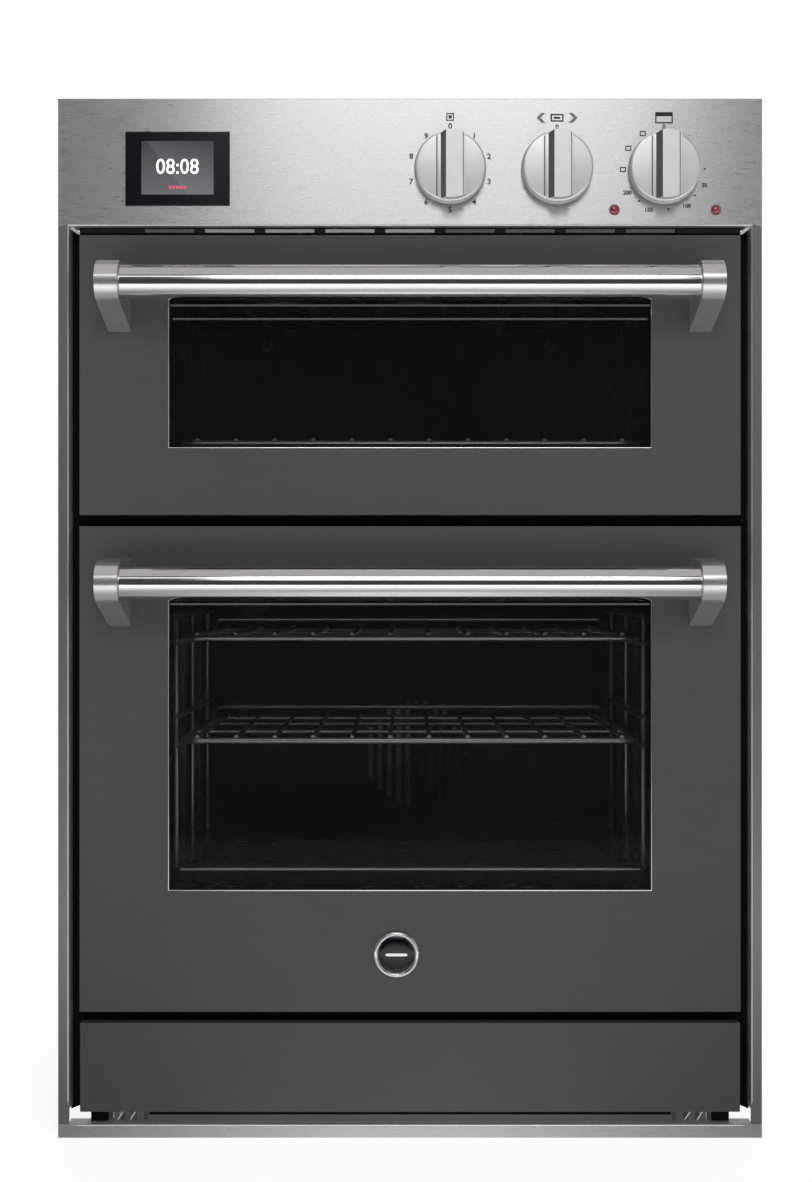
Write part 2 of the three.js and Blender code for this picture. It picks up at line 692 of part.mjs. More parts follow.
function makeFanCover() {
  const half = 190;
  const frontY = 408;
  const z = [206, 430];
  const box = slab(half, [frontY, CAVITY_BACK - GAP], z);
  const hollow = slab(half - SHEET, [frontY + SHEET, CAVITY_BACK + 1], grow(z, -SHEET));
  const slots = [];
  const pitch = 9.6;
  for (let i = -5; i <= 5; i += 1) {
    const offset = i * pitch;
    const reach = Math.sqrt(GRILLE_RADIUS ** 2 - offset ** 2) - 2;
    const x = FAN_X + offset;
    slots.push(block([x - 2.4, x + 2.4], [frontY - 1, frontY + 3], [FAN_Z - reach, FAN_Z + reach]));
  }
  for (const sign of Object.values(SIDES)) {
    for (let i = 0; i < 4; i += 1) {
      const low = 240 + i * 42;
      slots.push(block(sided(sign, [150, 158]), [frontY - 1, frontY + 3], [low, low + 30]));
    }
  }
  place('fan_cover', cut(box, [hollow, ...slots]), 'enamel');
}

function makeConvectionFan() {
  const blades = 8;
  const pieces = [
    rodY(FAN_RADIUS, [437, 439], FAN_X, FAN_Z, 24),
    rodY(9, [416, 438], FAN_X, FAN_Z),
    rodY(4, [430, 486], FAN_X, FAN_Z),
  ];
  for (let i = 0; i < blades; i += 1) {
    const blade = block([24, FAN_RADIUS - 3], [418, 438], [-0.8, 0.8]);
    pieces.push(blade.rotate([0, (360 / blades) * i, 0]).translate([FAN_X, 0, FAN_Z]));
  }
  place('convection_fan', union(pieces), 'zinc');
}

function makeFanMotor() {
  const plate = block([FAN_X - 48, FAN_X + 48], [470.4, 472], [FAN_Z - 48, FAN_Z + 48]);
  const can = rodY(36, [471, 530], FAN_X, FAN_Z, 24);
  const bore = rodY(4.6, [469, 492], FAN_X, FAN_Z);
  place('fan_motor', plate.add(can).subtract(bore), 'zinc');
}

function makeLamp() {
  const holder = rodY(12, [440, 478], LAMP.x, LAMP.z, 16);
  const cap = rodY(20, [430, CAVITY_BACK - GAP], LAMP.x, LAMP.z, 20);
  place('oven_lamp', holder.add(cap), 'lampGlass');
}

// Cooling blower: a flat duct to the front outlet, the wheel housing behind it and the motor on one end.
function makeBlowerHousing() {
  const ductZ = [766, 786];
  const scrollY = [360, 480];
  const scrollZ = [766, 860];
  const duct = slab(BLOWER_HALF, [FRAME_Y + 2.2, scrollY[0] + 5], ductZ);
  const scroll = slab(BLOWER_HALF, scrollY, scrollZ);
  const motor = rodX(26, [BLOWER_HALF - 0.5, 140], BLOWER_Y, BLOWER_Z, 20);
  const insideHalf = BLOWER_HALF - SHEET;
  const cuts = [
    slab(insideHalf, [FRAME_Y, scrollY[0] + 6], grow(ductZ, -SHEET)),
    slab(insideHalf, grow(scrollY, -SHEET), grow(scrollZ, -SHEET)),
    slab(80, [396, 470], [scrollZ[1] - 3, scrollZ[1] + 1]),
    rodX(4.8, [BLOWER_HALF - 4, 125], BLOWER_Y, BLOWER_Z),
    rodX(4.8, [-BLOWER_HALF - 1, -BLOWER_HALF + 3], BLOWER_Y, BLOWER_Z),
  ];
  place('blower_housing', cut(union([duct, scroll, motor]), cuts), 'zinc');
}

function makeBlowerWheel() {
  const blades = 8;
  const half = 88;
  const pieces = [rodX(4, [-BLOWER_HALF - 0.5, 120], BLOWER_Y, BLOWER_Z)];
  for (const x of [-half, half - 2]) {
    pieces.push(rodX(BLOWER_RADIUS, [x, x + 2], BLOWER_Y, BLOWER_Z, 16));
  }
  for (let i = 0; i < blades; i += 1) {
    const blade = block([-half + 1, half - 1], [-0.7, 0.7], [BLOWER_RADIUS - 10, BLOWER_RADIUS - 1]);
    pieces.push(blade.rotate([(360 / blades) * i, 0, 0]).translate([0, BLOWER_Y, BLOWER_Z]));
  }
  place('blower_wheel', union(pieces), 'zinc');
}

// ---------------------------------------------------------------- racks and tray

function makeSideRacks() {
  const guideHeights = [
    TRAY_RIM_Z - SHEET - GAP - RACK_WIRE,
    ...LOWER_RACK_Z.map((z) => z - RACK_BAR / 2 - GAP - RACK_WIRE),
    ...LOWER_RACK_Z.map((z) => z + 18),
  ];
  for (const [side, sign] of Object.entries(SIDES)) {
    const rails = guideHeights.map((z) => (
      block(sided(sign, [200.5, 207]), [70, 402], [z, z + RACK_WIRE])
    ));
    const posts = [90, 240, 385].map((y) => (
      block(sided(sign, [206, 210]), [y, y + RACK_WIRE], [212, 446])
    ));
    place(`side_rack_${side}`, union([...rails, ...posts]), 'chrome');
  }
}

// Wire shelf: a frame of thick wire, a raised rear bar and thin wires from front to back on top.
function makeWireRack(name, z) {
  const half = RACK_BAR / 2;
  const bar = [z - half, z + half];
  const pieces = [];
  for (const sign of Object.values(SIDES)) {
    const side = sided(sign, [RACK_HALF - RACK_BAR, RACK_HALF]);
    pieces.push(block(side, [RACK_FRONT, RACK_BACK], bar));
    pieces.push(block(side, [RACK_BACK - RACK_BAR, RACK_BACK], [z - half, z + 12 + half]));
  }
  const crossHalf = RACK_HALF - half;
  for (const y of [RACK_FRONT, RACK_BACK - 18]) {
    pieces.push(slab(crossHalf, grow([y, y + RACK_BAR], -0.2), grow(bar, -0.2)));
  }
  const raised = [z + 12 - half, z + 12 + half];
  pieces.push(slab(crossHalf, grow([RACK_BACK - RACK_BAR, RACK_BACK], -0.2), grow(raised, -0.2)));
  for (let i = 0; i < RACK_WIRES; i += 1) {
    const x = (i - (RACK_WIRES - 1) / 2) * RACK_PITCH;
    const across = [x - RACK_WIRE / 2, x + RACK_WIRE / 2];
    pieces.push(block(across, [RACK_FRONT + 1, RACK_BACK - 14], [z + 1, z + 1 + RACK_WIRE]));
  }
  place(name, union(pieces), 'chrome');
}

function makeDripTray() {
  const rim = slab(RACK_HALF, [RACK_FRONT - 2, RACK_BACK - 2], [TRAY_RIM_Z - SHEET, TRAY_RIM_Z]);
  const pan = slab(194, [RACK_FRONT + 6, RACK_BACK - 10], [206, TRAY_RIM_Z]);
  const hollow = slab(194 - SHEET, [RACK_FRONT + 6 + SHEET, RACK_BACK - 10 - SHEET], [206 + SHEET, 230]);
  place('drip_tray', rim.add(pan).subtract(hollow), 'enamel');
}

// ---------------------------------------------------------------- assembly

makeFascia();
makeTopVent();
makePlinthGrille();
makeBottomPanel();
makeFrontFrame();
makeDoor(UPPER);
makeDoor(LOWER);
makeBadge();
makeKnobs();
makeDisplay();
makeIndicators();
makeSidePanels();
makeTopCover();
makeBaseTray();
makeRearCover();
makeCableGland();
makeUpperCavity();
makeLowerCavity();
makeInsulation();
makeGasket('upper_gasket', UPPER_CAVITY);
makeGasket('lower_gasket', LOWER_CAVITY);
makeGrillElement();
makeRingElement();
makeFanCover();
makeConvectionFan();
makeFanMotor();
makeLamp();
makeBlowerHousing();
makeBlowerWheel();
makeSideRacks();
makeWireRack('upper_rack', UPPER_RACK_Z);
makeWireRack('lower_rack_bottom', LOWER_RACK_Z[0]);
makeWireRack('lower_rack_top', LOWER_RACK_Z[1]);
makeDripTray();

export default oven;
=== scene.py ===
# Looks for the built-in double wall oven: finishes, fine meshes, markings, lights and camera.
# Lengths are in metres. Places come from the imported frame's boxes and from the named values below.

import json
import math

import bmesh
import bpy
from mathutils import Matrix, Vector

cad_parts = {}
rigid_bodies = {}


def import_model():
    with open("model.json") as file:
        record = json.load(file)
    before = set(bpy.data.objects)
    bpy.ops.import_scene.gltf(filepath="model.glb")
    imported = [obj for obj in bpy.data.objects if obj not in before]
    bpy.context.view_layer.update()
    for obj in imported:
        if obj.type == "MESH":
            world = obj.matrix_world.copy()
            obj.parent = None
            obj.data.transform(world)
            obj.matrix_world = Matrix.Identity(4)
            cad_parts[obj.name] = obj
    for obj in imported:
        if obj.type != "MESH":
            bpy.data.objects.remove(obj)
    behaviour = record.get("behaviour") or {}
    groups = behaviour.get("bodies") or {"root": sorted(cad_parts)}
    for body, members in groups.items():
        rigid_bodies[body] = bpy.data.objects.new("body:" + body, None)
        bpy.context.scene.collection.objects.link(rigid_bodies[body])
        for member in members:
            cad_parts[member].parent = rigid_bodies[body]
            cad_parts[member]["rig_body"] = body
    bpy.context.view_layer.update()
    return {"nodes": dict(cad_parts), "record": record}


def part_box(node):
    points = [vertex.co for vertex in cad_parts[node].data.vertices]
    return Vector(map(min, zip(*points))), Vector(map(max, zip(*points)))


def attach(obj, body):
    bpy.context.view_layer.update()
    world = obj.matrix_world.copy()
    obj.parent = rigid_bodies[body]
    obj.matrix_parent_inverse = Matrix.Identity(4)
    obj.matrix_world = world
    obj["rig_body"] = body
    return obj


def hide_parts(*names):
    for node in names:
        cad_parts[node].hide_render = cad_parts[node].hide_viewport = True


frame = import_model()
NODES = frame["nodes"]

MM = 0.001
SIDES = {"left": -1, "right": 1}
# Points closer than this, in metres, meet; faces larger than this, in square metres, are shaded flat.
FLAT = 0.00001

# -------- places read from the frame

FASCIA_LOW, FASCIA_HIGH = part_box("front_fascia")
FACE_Y = FASCIA_LOW.y
OPENING_HALF = 288.5 * MM
OPENING_TOP = 771.6 * MM
OPENING_BOTTOM = 11.7 * MM
DOORS = ("upper_door", "lower_door")
KNOBS = ("function_knob", "clock_knob", "thermostat_knob")


def middle(node):
    low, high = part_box(node)
    return (low + high) / 2


# -------- shader helpers


class Shader:
    """A material with one Principled node, and short ways to add the nodes that drive it."""

    def __init__(self, name, color, roughness, metallic=0.0, **inputs):
        self.material = bpy.data.materials.new(name)
        self.material.use_nodes = True
        self.tree = self.material.node_tree
        self.main = self.tree.nodes["Principled BSDF"]
        self.drive(Base_Color=(*color, 1), Roughness=roughness, Metallic=metallic, **inputs)

    def fill(self, socket, value):
        """Gives an input a value, or links it to another node's output."""
        if isinstance(value, bpy.types.NodeSocket):
            self.tree.links.new(value, socket)
        else:
            socket.default_value = value

    def add(self, kind, inputs, **settings):
        """Adds a node, fills its inputs by their names and returns its outputs."""
        made = self.tree.nodes.new(f"ShaderNode{kind}")
        for key, value in settings.items():
            setattr(made, key, value)
        for name, value in inputs.items():
            self.fill(made.inputs[name], value)
        return made.outputs

    def drive(self, **inputs):
        """Fills inputs of the Principled node, whose names have _ for a space here."""
        for name, value in inputs.items():
            self.fill(self.main.inputs[name.replace("_", " ")], value)

    def coords(self, stretch):
        """Object coordinates in which a pattern of scale 1 repeats stretch times in a metre."""
        place = self.add("TexCoord", {})["Object"]
        scale = grey(stretch) if isinstance(stretch, (int, float)) else stretch
        return self.add("Mapping", {"Vector": place, "Scale": scale})["Vector"]

    def position(self, axis):
        """How far a point of the piece is along an axis, in metres."""
        place = self.add("TexCoord", {})["Object"]
        return self.add("SeparateXYZ", {"Vector": place})[axis]

    def noise(self, stretch, detail):
        inputs = {"Vector": self.coords(stretch), "Scale": 1.0, "Detail": detail, "Roughness": 0.55}
        return self.add("TexNoise", inputs)["Fac"]

    def cells(self, stretch):
        """Distances from the middles of scattered cells, and a random value for each cell."""
        pattern = self.add("TexVoronoi", {"Vector": self.coords(stretch), "Scale": 1.0})
        return pattern["Distance"], self.add("SeparateColor", {"Color": pattern["Color"]})["Red"]

    def spread(self, value, low, high, start, end):
        """Maps a value from start..end to low..high."""
        inputs = {"Value": value, "From Min": start, "From Max": end, "To Min": low, "To Max": high}
        return self.add("MapRange", inputs)["Result"]

    def math(self, operation, first, second):
        made = self.tree.nodes.new("ShaderNodeMath")
        made.operation = operation
        self.fill(made.inputs[0], first)
        self.fill(made.inputs[1], second)
        return made.outputs["Value"]

    def average(self, first, second, share):
        """Mixes two patterns; share is how much of the first one counts."""
        return self.math("ADD", self.math("MULTIPLY", first, share), self.math("MULTIPLY", second, 1 - share))

    def blend(self, factor, first, second):
        """Mixes two colours by a factor."""
        inputs = {"A": (*first, 1), "B": (*second, 1), "Factor": factor}
        return self.add("Mix", inputs, data_type="RGBA")["Result"]

    def color(self, factor, first, second):
        """Colours the surface by a factor between two colours."""
        self.drive(Base_Color=self.blend(factor, first, second))

    def mottle(self, pattern, first, second, start=0.3, end=0.7):
        """Colours the surface from one colour to another as a pattern goes from start to end."""
        self.color(self.spread(pattern, 0, 1, start, end), first, second)

    def rub(self, pattern, low, high, start=0.3, end=0.7):
        """Roughens the surface from low to high as a pattern goes from start to end."""
        self.drive(Roughness=self.spread(pattern, low, high, start, end))

    def bump(self, height, depth):
        relief = self.add("Bump", {"Height": height, "Distance": depth})
        self.drive(Normal=relief["Normal"])

    def tangent(self, direction):
        """Fixes the direction in which highlights stretch, and turns it with the piece."""
        inputs = {"Vector": direction}
        turned = self.add("VectorTransform", inputs, convert_from="OBJECT", convert_to="WORLD")
        self.drive(Tangent=turned["Vector"])


def grey(value):
    return (value, value, value)


def dimmed(color, share):
    return tuple(value * share for value in color)


# -------- materials


def brushed(name, tone, rough, grain, stretched, metallic=1.0):
    """Brushed steel. grain is the axis that the lines run along; highlights stretch across it."""
    turn = {"x": 1, "z": -1}[grain]
    streaks, hairs, across = (60, 260, 900)[::turn], (200, 900, 2600)[::turn], (0, 0, 1)[::turn]
    steel = Shader(name, grey(tone), rough, metallic, Anisotropic=stretched)
    lines = steel.average(steel.noise(streaks, 4), steel.noise(hairs, 2), 0.55)
    steel.mottle(lines, grey(tone * 0.93), grey(min(1, tone * 1.05)))
    steel.rub(lines, rough - 0.03, rough + 0.04)
    steel.bump(lines, 0.000012)
    steel.tangent(across)
    return steel


def polished(name, tone, rough):
    """Polished steel with faint drawing lines along X."""
    steel = Shader(name, grey(tone), rough, 1.0)
    lines = steel.noise((12, 700, 700), 2)
    steel.mottle(lines, grey(tone * 0.94), grey(tone), 0.35, 0.65)
    steel.rub(lines, rough - 0.02, rough + 0.03)
    return steel


def satin(name, tone, rough, metallic=1.0):
    """Bead-blasted or satin metal with a fine, even grain."""
    steel = Shader(name, grey(tone), rough, metallic)
    grain = steel.noise(1400, 3)
    steel.mottle(steel.noise(45, 2), grey(tone * 0.93), grey(tone))
    steel.rub(grain, rough - 0.03, rough + 0.03)
    steel.bump(grain, 0.000008)
    return steel


def anthracite():
    """Dark satin door coating with a faint grain across the door."""
    paint = Shader("anthracite", grey(0.11), 0.5, Specular_IOR_Level=0.3)
    grain = paint.noise((60, 1500, 1500), 3)
    paint.mottle(paint.average(grain, paint.noise(5, 2), 0.6), grey(0.1), grey(0.125))
    paint.rub(grain, 0.45, 0.56)
    paint.bump(grain, 0.00002)
    return paint


def painted(name, color, rough, gloss=0.5):
    """Even paint with a slight orange peel."""
    paint = Shader(name, color, rough, Specular_IOR_Level=gloss)
    peel = paint.noise(900, 2)
    paint.mottle(paint.noise(9, 3), dimmed(color, 0.85), color)
    paint.rub(peel, rough - 0.05, rough + 0.05)
    paint.bump(peel, 0.00004)
    return paint


def enamel():
    """Vitreous enamel: near black, glossy, with fine pale specks."""
    coat = Shader("enamel", (0.012, 0.013, 0.017), 0.22, Specular_IOR_Level=0.25)
    distances, _ = coat.cells(420)
    coat.color(coat.spread(distances, 1, 0, 0.06, 0.16), (0.009, 0.01, 0.013), (0.1, 0.105, 0.12))
    ripple = coat.noise(60, 2)
    coat.rub(ripple, 0.16, 0.3)
    coat.bump(ripple, 0.0001)
    return coat


def galvanised():
    """Zinc-coated sheet: crystal spangle of pale and darker flakes."""
    zinc = Shader("galvanised", grey(0.6), 0.42, 0.7)
    _, flakes = zinc.cells(150)
    fog = zinc.noise(11, 4)
    spangle = zinc.average(flakes, fog, 0.5)
    zinc.mottle(spangle, (0.58, 0.6, 0.61), (0.76, 0.78, 0.79), 0.2, 0.8)
    zinc.rub(spangle, 0.34, 0.52, 0.2, 0.8)
    zinc.bump(fog, 0.00005)
    return zinc


def tinted_glass(name, tone, alpha, gloss):
    """Polished tinted pane: what is behind shows through by the part that alpha leaves open."""
    pane = Shader(name, tone, 0.03, Alpha=alpha, Specular_IOR_Level=gloss)
    film = pane.noise(4, 3)
    pane.mottle(film, dimmed(tone, 0.7), tone)
    pane.rub(film, 0.02, 0.05)
    return pane


def plastic(name, color, rough):
    """Moulded plastic with a fine spark-eroded texture."""
    shell = Shader(name, color, rough)
    grain = shell.noise(1200, 2)
    shell.mottle(grain, dimmed(color, 0.8), color)
    shell.rub(grain, rough - 0.05, rough + 0.05)
    shell.bump(grain, 0.00005)
    return shell


def red_lens():
    """Clear red moulding with faceted inside, faintly glowing; the dark and bright red of its facets is a
    painted sparkle.
    """
    lens = Shader("red_lens", (0.4, 0.01, 0.012), 0.1, Coat_Weight=1.0, Specular_IOR_Level=0.9)
    _, facet_sparkle = lens.cells(600)
    # Dark and bright red cell by cell: the lens's facets, with a painted sparkle on them.
    lens.color(facet_sparkle, (0.13, 0.002, 0.004), (0.75, 0.05, 0.05))
    lens.drive(Emission_Color=(0.8, 0.03, 0.02, 1), Emission_Strength=0.03)
    return lens


def glass_wool():
    """Pale glass wool blanket: tangled fibres in soft clumps."""
    wool = Shader("glass_wool", (0.7, 0.66, 0.5), 0.95, Sheen_Weight=0.3)
    clumps = wool.noise(30, 3)
    wool.mottle(clumps, (0.6, 0.56, 0.4), (0.82, 0.79, 0.66))
    wool.bump(wool.math("ADD", wool.noise((90, 600, 90), 6), clumps), 0.003)
    return wool


def woven_seal():
    """Braided glass-fibre door seal."""
    braid = Shader("woven_seal", grey(0.05), 0.85)
    inputs = {"Vector": braid.coords(260), "Scale": 1.0, "Distortion": 1.5}
    weave = braid.add("TexWave", inputs, bands_direction="DIAGONAL")["Fac"]
    braid.color(weave, grey(0.025), grey(0.085))
    braid.bump(weave, 0.0008)
    return braid


def heated_sheath():
    """Element tube, browned and blued by heat."""
    sheath = Shader("heated_sheath", (0.12, 0.1, 0.09), 0.5, 0.7)
    patches = sheath.noise(18, 4)
    sheath.mottle(patches, (0.07, 0.07, 0.09), (0.2, 0.15, 0.11), 0.35, 0.65)
    sheath.rub(patches, 0.35, 0.6)
    return sheath


def lit_screen(low, high):
    """The lit screen: a dim grey picture, lighter at its bottom, with a slanted band of painted reflection.
    """
    screen = Shader("lit_screen", grey(0.02), 0.25)
    up = screen.spread(screen.position("Z"), 0, 1, low.z, high.z)
    along = screen.spread(screen.position("X"), 0, 1, low.x, high.x)
    # The slanted band worked out below is a painted reflection on the screen's glass, added to its glow.
    slant = screen.math("ADD", along, screen.math("MULTIPLY", up, 0.56))
    past = screen.math("SUBTRACT", slant, 0.62)
    band = screen.math("MULTIPLY", screen.spread(past, 0, 1, 0.0, 0.02), screen.spread(past, 1, 0, 0.0, 0.8))
    light = screen.math("ADD", screen.spread(up, 0.125, 0.03, 0, 1), screen.math("MULTIPLY", band, 0.035))
    shares = {"Red": 0.94, "Green": 0.99, "Blue": 1.06}
    channels = {channel: screen.math("MULTIPLY", light, share) for channel, share in shares.items()}
    screen.drive(Emission_Color=screen.add("CombineColor", channels)["Color"], Emission_Strength=1.0)
    return screen


def glowing(name, color, strength):
    """Lit marks on the screen, a little uneven like a backlight."""
    mark = Shader(name, color, 0.4)
    uneven = mark.blend(mark.noise(150, 1), dimmed(color, 0.88), color)
    mark.drive(Emission_Color=uneven, Emission_Strength=strength)
    return mark


def ink():
    """Dark screen-printed ink on the panel."""
    print_ink = Shader("ink", grey(0.015), 0.55)
    print_ink.color(print_ink.noise(1500, 2), grey(0.01), grey(0.03))
    return print_ink


# Each finish with the function that makes it and what that needs after the name.
FINISHES = {
    "fascia_steel": (brushed, 0.62, 0.28, "x", 0.9),
    "trim_steel": (brushed, 0.26, 0.36, "z", 0.7, 0.4),
    "fold_steel": (satin, 0.72, 0.42, 0.4),
    "edge_steel": (polished, 0.8, 0.16),
    "handle_steel": (polished, 0.78, 0.09),
    "hem_steel": (satin, 0.82, 0.38),
    "bracket_steel": (satin, 0.8, 0.22, 0.8),
    "knob_metal": (satin, 0.95, 0.38, 0.6),
    # Dark satin for the indicator bezels, also used as painted shade on the knobs' grip ridges.
    "knob_groove": (satin, 0.17, 0.5, 0.3),
    # Two copies of louvre steel: a painted reflection and painted shade on the vent blades; the darker one is
    # also the plinth blades' steel.
    "louvre_steel": (satin, 0.5, 0.42, 0.5),
    "dull_louvre": (satin, 0.16, 0.5, 0.3),
    "chrome_wire": (satin, 0.9, 0.3, 0.85),
    "plinth_metal": (painted, grey(0.3), 0.5),
    "black_paint": (painted, grey(0.004), 0.6, 0.15),
    "vent_metal": (painted, grey(0.012), 0.5, 0.2),
    "strip_grey": (painted, grey(0.18), 0.45),
    "faint_ink": (painted, grey(0.32), 0.5),
    "dark_glass": (tinted_glass, (0.028, 0.028, 0.03), 0.22, 0.1),
    "inner_glass": (tinted_glass, (0.008, 0.01, 0.009), 0.08, 0.1),
    "lamp_glass": (tinted_glass, (0.2, 0.2, 0.19), 0.8, 0.5),
    "dark_plastic": (plastic, grey(0.03), 0.5),
    "display_glass": (plastic, (0.004, 0.005, 0.009), 0.1),
    "clock_white": (glowing, (1, 1, 1), 0.95),
    "clock_red": (glowing, (0.58, 0.08, 0.13), 0.8),
}
SINGLE_FINISHES = {
    "anthracite": anthracite,
    "enamel": enamel,
    "zinc": galvanised,
    "red_lens": red_lens,
    "insulation": glass_wool,
    "seal": woven_seal,
    "element": heated_sheath,
    "ink": ink,
}
MATERIALS = {name: make(name, *values).material for name, (make, *values) in FINISHES.items()}
MATERIALS.update({name: make().material for name, make in SINGLE_FINISHES.items()})
SLOT_OF_NODE = {part["node"]: part["material_slot"] for part in frame["record"]["subparts"]}
FINISH_OF_NODE = {"plinth_grille": "plinth_metal", "door_badge": "edge_steel"}


def node_finish(node):
    return FINISH_OF_NODE.get(node, SLOT_OF_NODE[node])


# -------- mesh helpers


def new_object(name, data):
    """Adds an object to the scene."""
    made = bpy.data.objects.new(name, data)
    bpy.context.scene.collection.objects.link(made)
    return made


def finish_mesh(name, shape, materials, angle=35, flat_area=None):
    """Turns a bmesh into an object: smooth, but flat past an angle, on big faces and on square faces."""
    bmesh.ops.recalc_face_normals(shape, faces=shape.faces)
    mesh = bpy.data.meshes.new(name)
    shape.to_mesh(mesh)
    shape.free()
    for material in materials:
        mesh.materials.append(material)
    mesh.shade_smooth()
    mesh.set_sharp_from_angle(angle=math.radians(angle))
    for face in mesh.polygons:
        square = max(abs(part) for part in face.normal) > 0.99999
        face.use_smooth = flat_area is None or (face.area < flat_area and not square)
    return new_object(name, mesh)


def add_piece(name, shape, finishes, slot, body="carcass", **smoothing):
    """Adds a piece that rides on a body."""
    piece = finish_mesh(name, shape, [MATERIALS[finish] for finish in finishes], **smoothing)
    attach(piece, body)
    return piece


def replace_node(node, shape, finishes, **smoothing):
    """Adds a finer piece that stands in for a CAD node, on its body."""
    body = NODES[node]["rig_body"]
    piece = add_piece(f"{node}_fine", shape, finishes, SLOT_OF_NODE[node], body, **smoothing)
    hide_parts(node)


def plain_copy(node):
    """The node's shape with its flat faces joined up again."""
    shape = bmesh.new()
    shape.from_mesh(NODES[node].data)
    bmesh.ops.remove_doubles(shape, verts=shape.verts, dist=0.000002)
    bmesh.ops.dissolve_limit(shape, angle_limit=math.radians(1), verts=shape.verts, edges=shape.edges)
    return shape


def round_edges(shape, width, segments, keep=lambda edge: True, angle=30, clamp=True):
    """Rounds the edges that are sharper than an angle."""
    sharp = [
        edge
        for edge in shape.edges
        if len(edge.link_faces) == 2 and edge.calc_face_angle(0) > math.radians(angle) and keep(edge)
    ]
    bmesh.ops.bevel(
        shape, geom=sharp, offset=width, segments=segments, profile=0.5, affect="EDGES", clamp_overlap=clamp
    )


def refine(node, width, segments=2, paint=None, extra=()):
    """A copy of a CAD node with rounded edges. paint(face) picks a material index."""
    shape = plain_copy(node)
    round_edges(shape, width, segments)
    if paint:
        for face in shape.faces:
            face.material_index = paint(face)
    replace_node(node, shape, [node_finish(node), *extra], flat_area=FLAT)


def add_box(shape, low, high):
    """Adds a block to a bmesh."""
    low, high = Vector(low), Vector(high)
    place = Matrix.Translation((low + high) / 2) @ Matrix.Diagonal((*(high - low), 1))
    bmesh.ops.create_cube(shape, size=1, matrix=place)


def circle(centre, across, up, steps):
    """Points round a circle; across and up are its radii in two directions."""
    angles = [2 * math.pi * step / steps for step in range(steps)]
    return [centre + across * math.cos(angle) + up * math.sin(angle) for angle in angles]


def join_rings(shape, rings, closed=False, index=0):
    """Walls between rings of points, with a face over each end unless the rings form a loop."""
    rings = [[shape.verts.new(point) for point in ring] for ring in rings]
    pairs = list(zip(rings, rings[1:]))
    ends = [rings[0], rings[-1]]
    if closed:
        pairs.append((rings[-1], rings[0]))
        ends = []
    made = [shape.faces.new(ring) for ring in ends]
    count = len(rings[0])
    for first, second in pairs:
        for i in range(count):
            j = (i + 1) % count
            made.append(shape.faces.new((first[i], first[j], second[j], second[i])))
    for face in made:
        face.material_index = index
    return made


def add_turned(shape, profile, centre, steps, index=0):
    """Turns a profile of (radius, depth) points round the Y axis; depth counts towards the front."""
    rings = [
        circle(centre + Vector((0, -depth, 0)), Vector((radius, 0, 0)), Vector((0, 0, radius)), steps)
        for radius, depth in profile
    ]
    join_rings(shape, rings, index=index)


def add_prism(shape, centre, bottom, top, low_y, high_y, index=0):
    """Joins two outlines with the same number of corners, one at each depth."""
    rings = [
        [centre + Vector((x, y, z)) for x, z in outline] for outline, y in ((bottom, low_y), (top, high_y))
    ]
    return join_rings(shape, rings, index=index)


def add_tube(shape, points, radius, sides=12, closed=False):
    """Sweeps a circle along points, turning it as little as possible from one to the next."""
    points = [Vector(point) for point in points]
    count = len(points)
    rings = []
    normal = None
    for i, point in enumerate(points):
        before = points[i - 1] if closed or i > 0 else point
        after = points[(i + 1) % count] if closed or i < count - 1 else point
        along = (after - before).normalized()
        if normal is None:
            normal = along.orthogonal().normalized()
        normal = (normal - along * normal.dot(along)).normalized()
        rings.append(circle(point, normal * radius, along.cross(normal) * radius, sides))
    join_rings(shape, rings, closed)


def rounded_corners(corners, radius, closed=True):
    """Points along straight runs whose corners are replaced by short curves."""
    corners = [Vector(corner) for corner in corners]
    count = len(corners)
    steps = 5
    points = []
    for i, corner in enumerate(corners):
        if not closed and i in (0, count - 1):
            points.append(corner)
            continue
        start = corner + (corners[i - 1] - corner).normalized() * radius
        end = corner + (corners[(i + 1) % count] - corner).normalized() * radius
        for step in range(steps + 1):
            t = step / steps
            points.append(start * (1 - t) ** 2 + corner * 2 * t * (1 - t) + end * t**2)
    return points


def text_shape(shape, text, centre, height, width=None, bold=0.03):
    """Adds flat lettering that faces the front, scaled to a height and, where given, a width."""
    thickness = 0.05 * MM
    curve = bpy.data.curves.new("lettering", "FONT")
    curve.body = text
    curve.extrude = 1.0
    curve.offset = bold
    curve.resolution_u = 3
    holder = new_object("lettering", curve)
    bpy.context.view_layer.update()
    mesh = bpy.data.meshes.new_from_object(holder.evaluated_get(bpy.context.evaluated_depsgraph_get()))
    bpy.data.objects.remove(holder)
    xs = [vert.co.x for vert in mesh.vertices]
    ys = [vert.co.y for vert in mesh.vertices]
    tall = height / (max(ys) - min(ys))
    wide = width / (max(xs) - min(xs)) if width else tall
    mid_x = (max(xs) + min(xs)) / 2
    mid_y = (max(ys) + min(ys)) / 2
    for vert in mesh.vertices:
        across = (vert.co.x - mid_x) * wide
        up = (vert.co.y - mid_y) * tall
        vert.co = Vector(centre) + Vector((across, -vert.co.z * thickness, up))
    shape.from_mesh(mesh)
    bpy.data.meshes.remove(mesh)


# -------- fascia

# The doorway's bottom corners, where the folds stop short, keep square edges.
CORNER_TOP = 30 * MM
CORNER_SIDE = 282 * MM
HEM = 2.1 * MM
ORIGIN = Vector((0, 0, 0))


def on_outline(edge, half_width, bottom, top):
    """Whether an edge lies on the outline of an upright rectangle in the fascia's front face."""
    for vert in edge.verts:
        across, up = abs(vert.co.x) - half_width, vert.co.z
        beside = abs(across) < FLAT and bottom - FLAT < up < top + FLAT
        above = min(abs(up - top), abs(up - bottom)) < FLAT and across < FLAT
        if vert.co.y > FACE_Y + FLAT or not (beside or above):
            return False
    return True


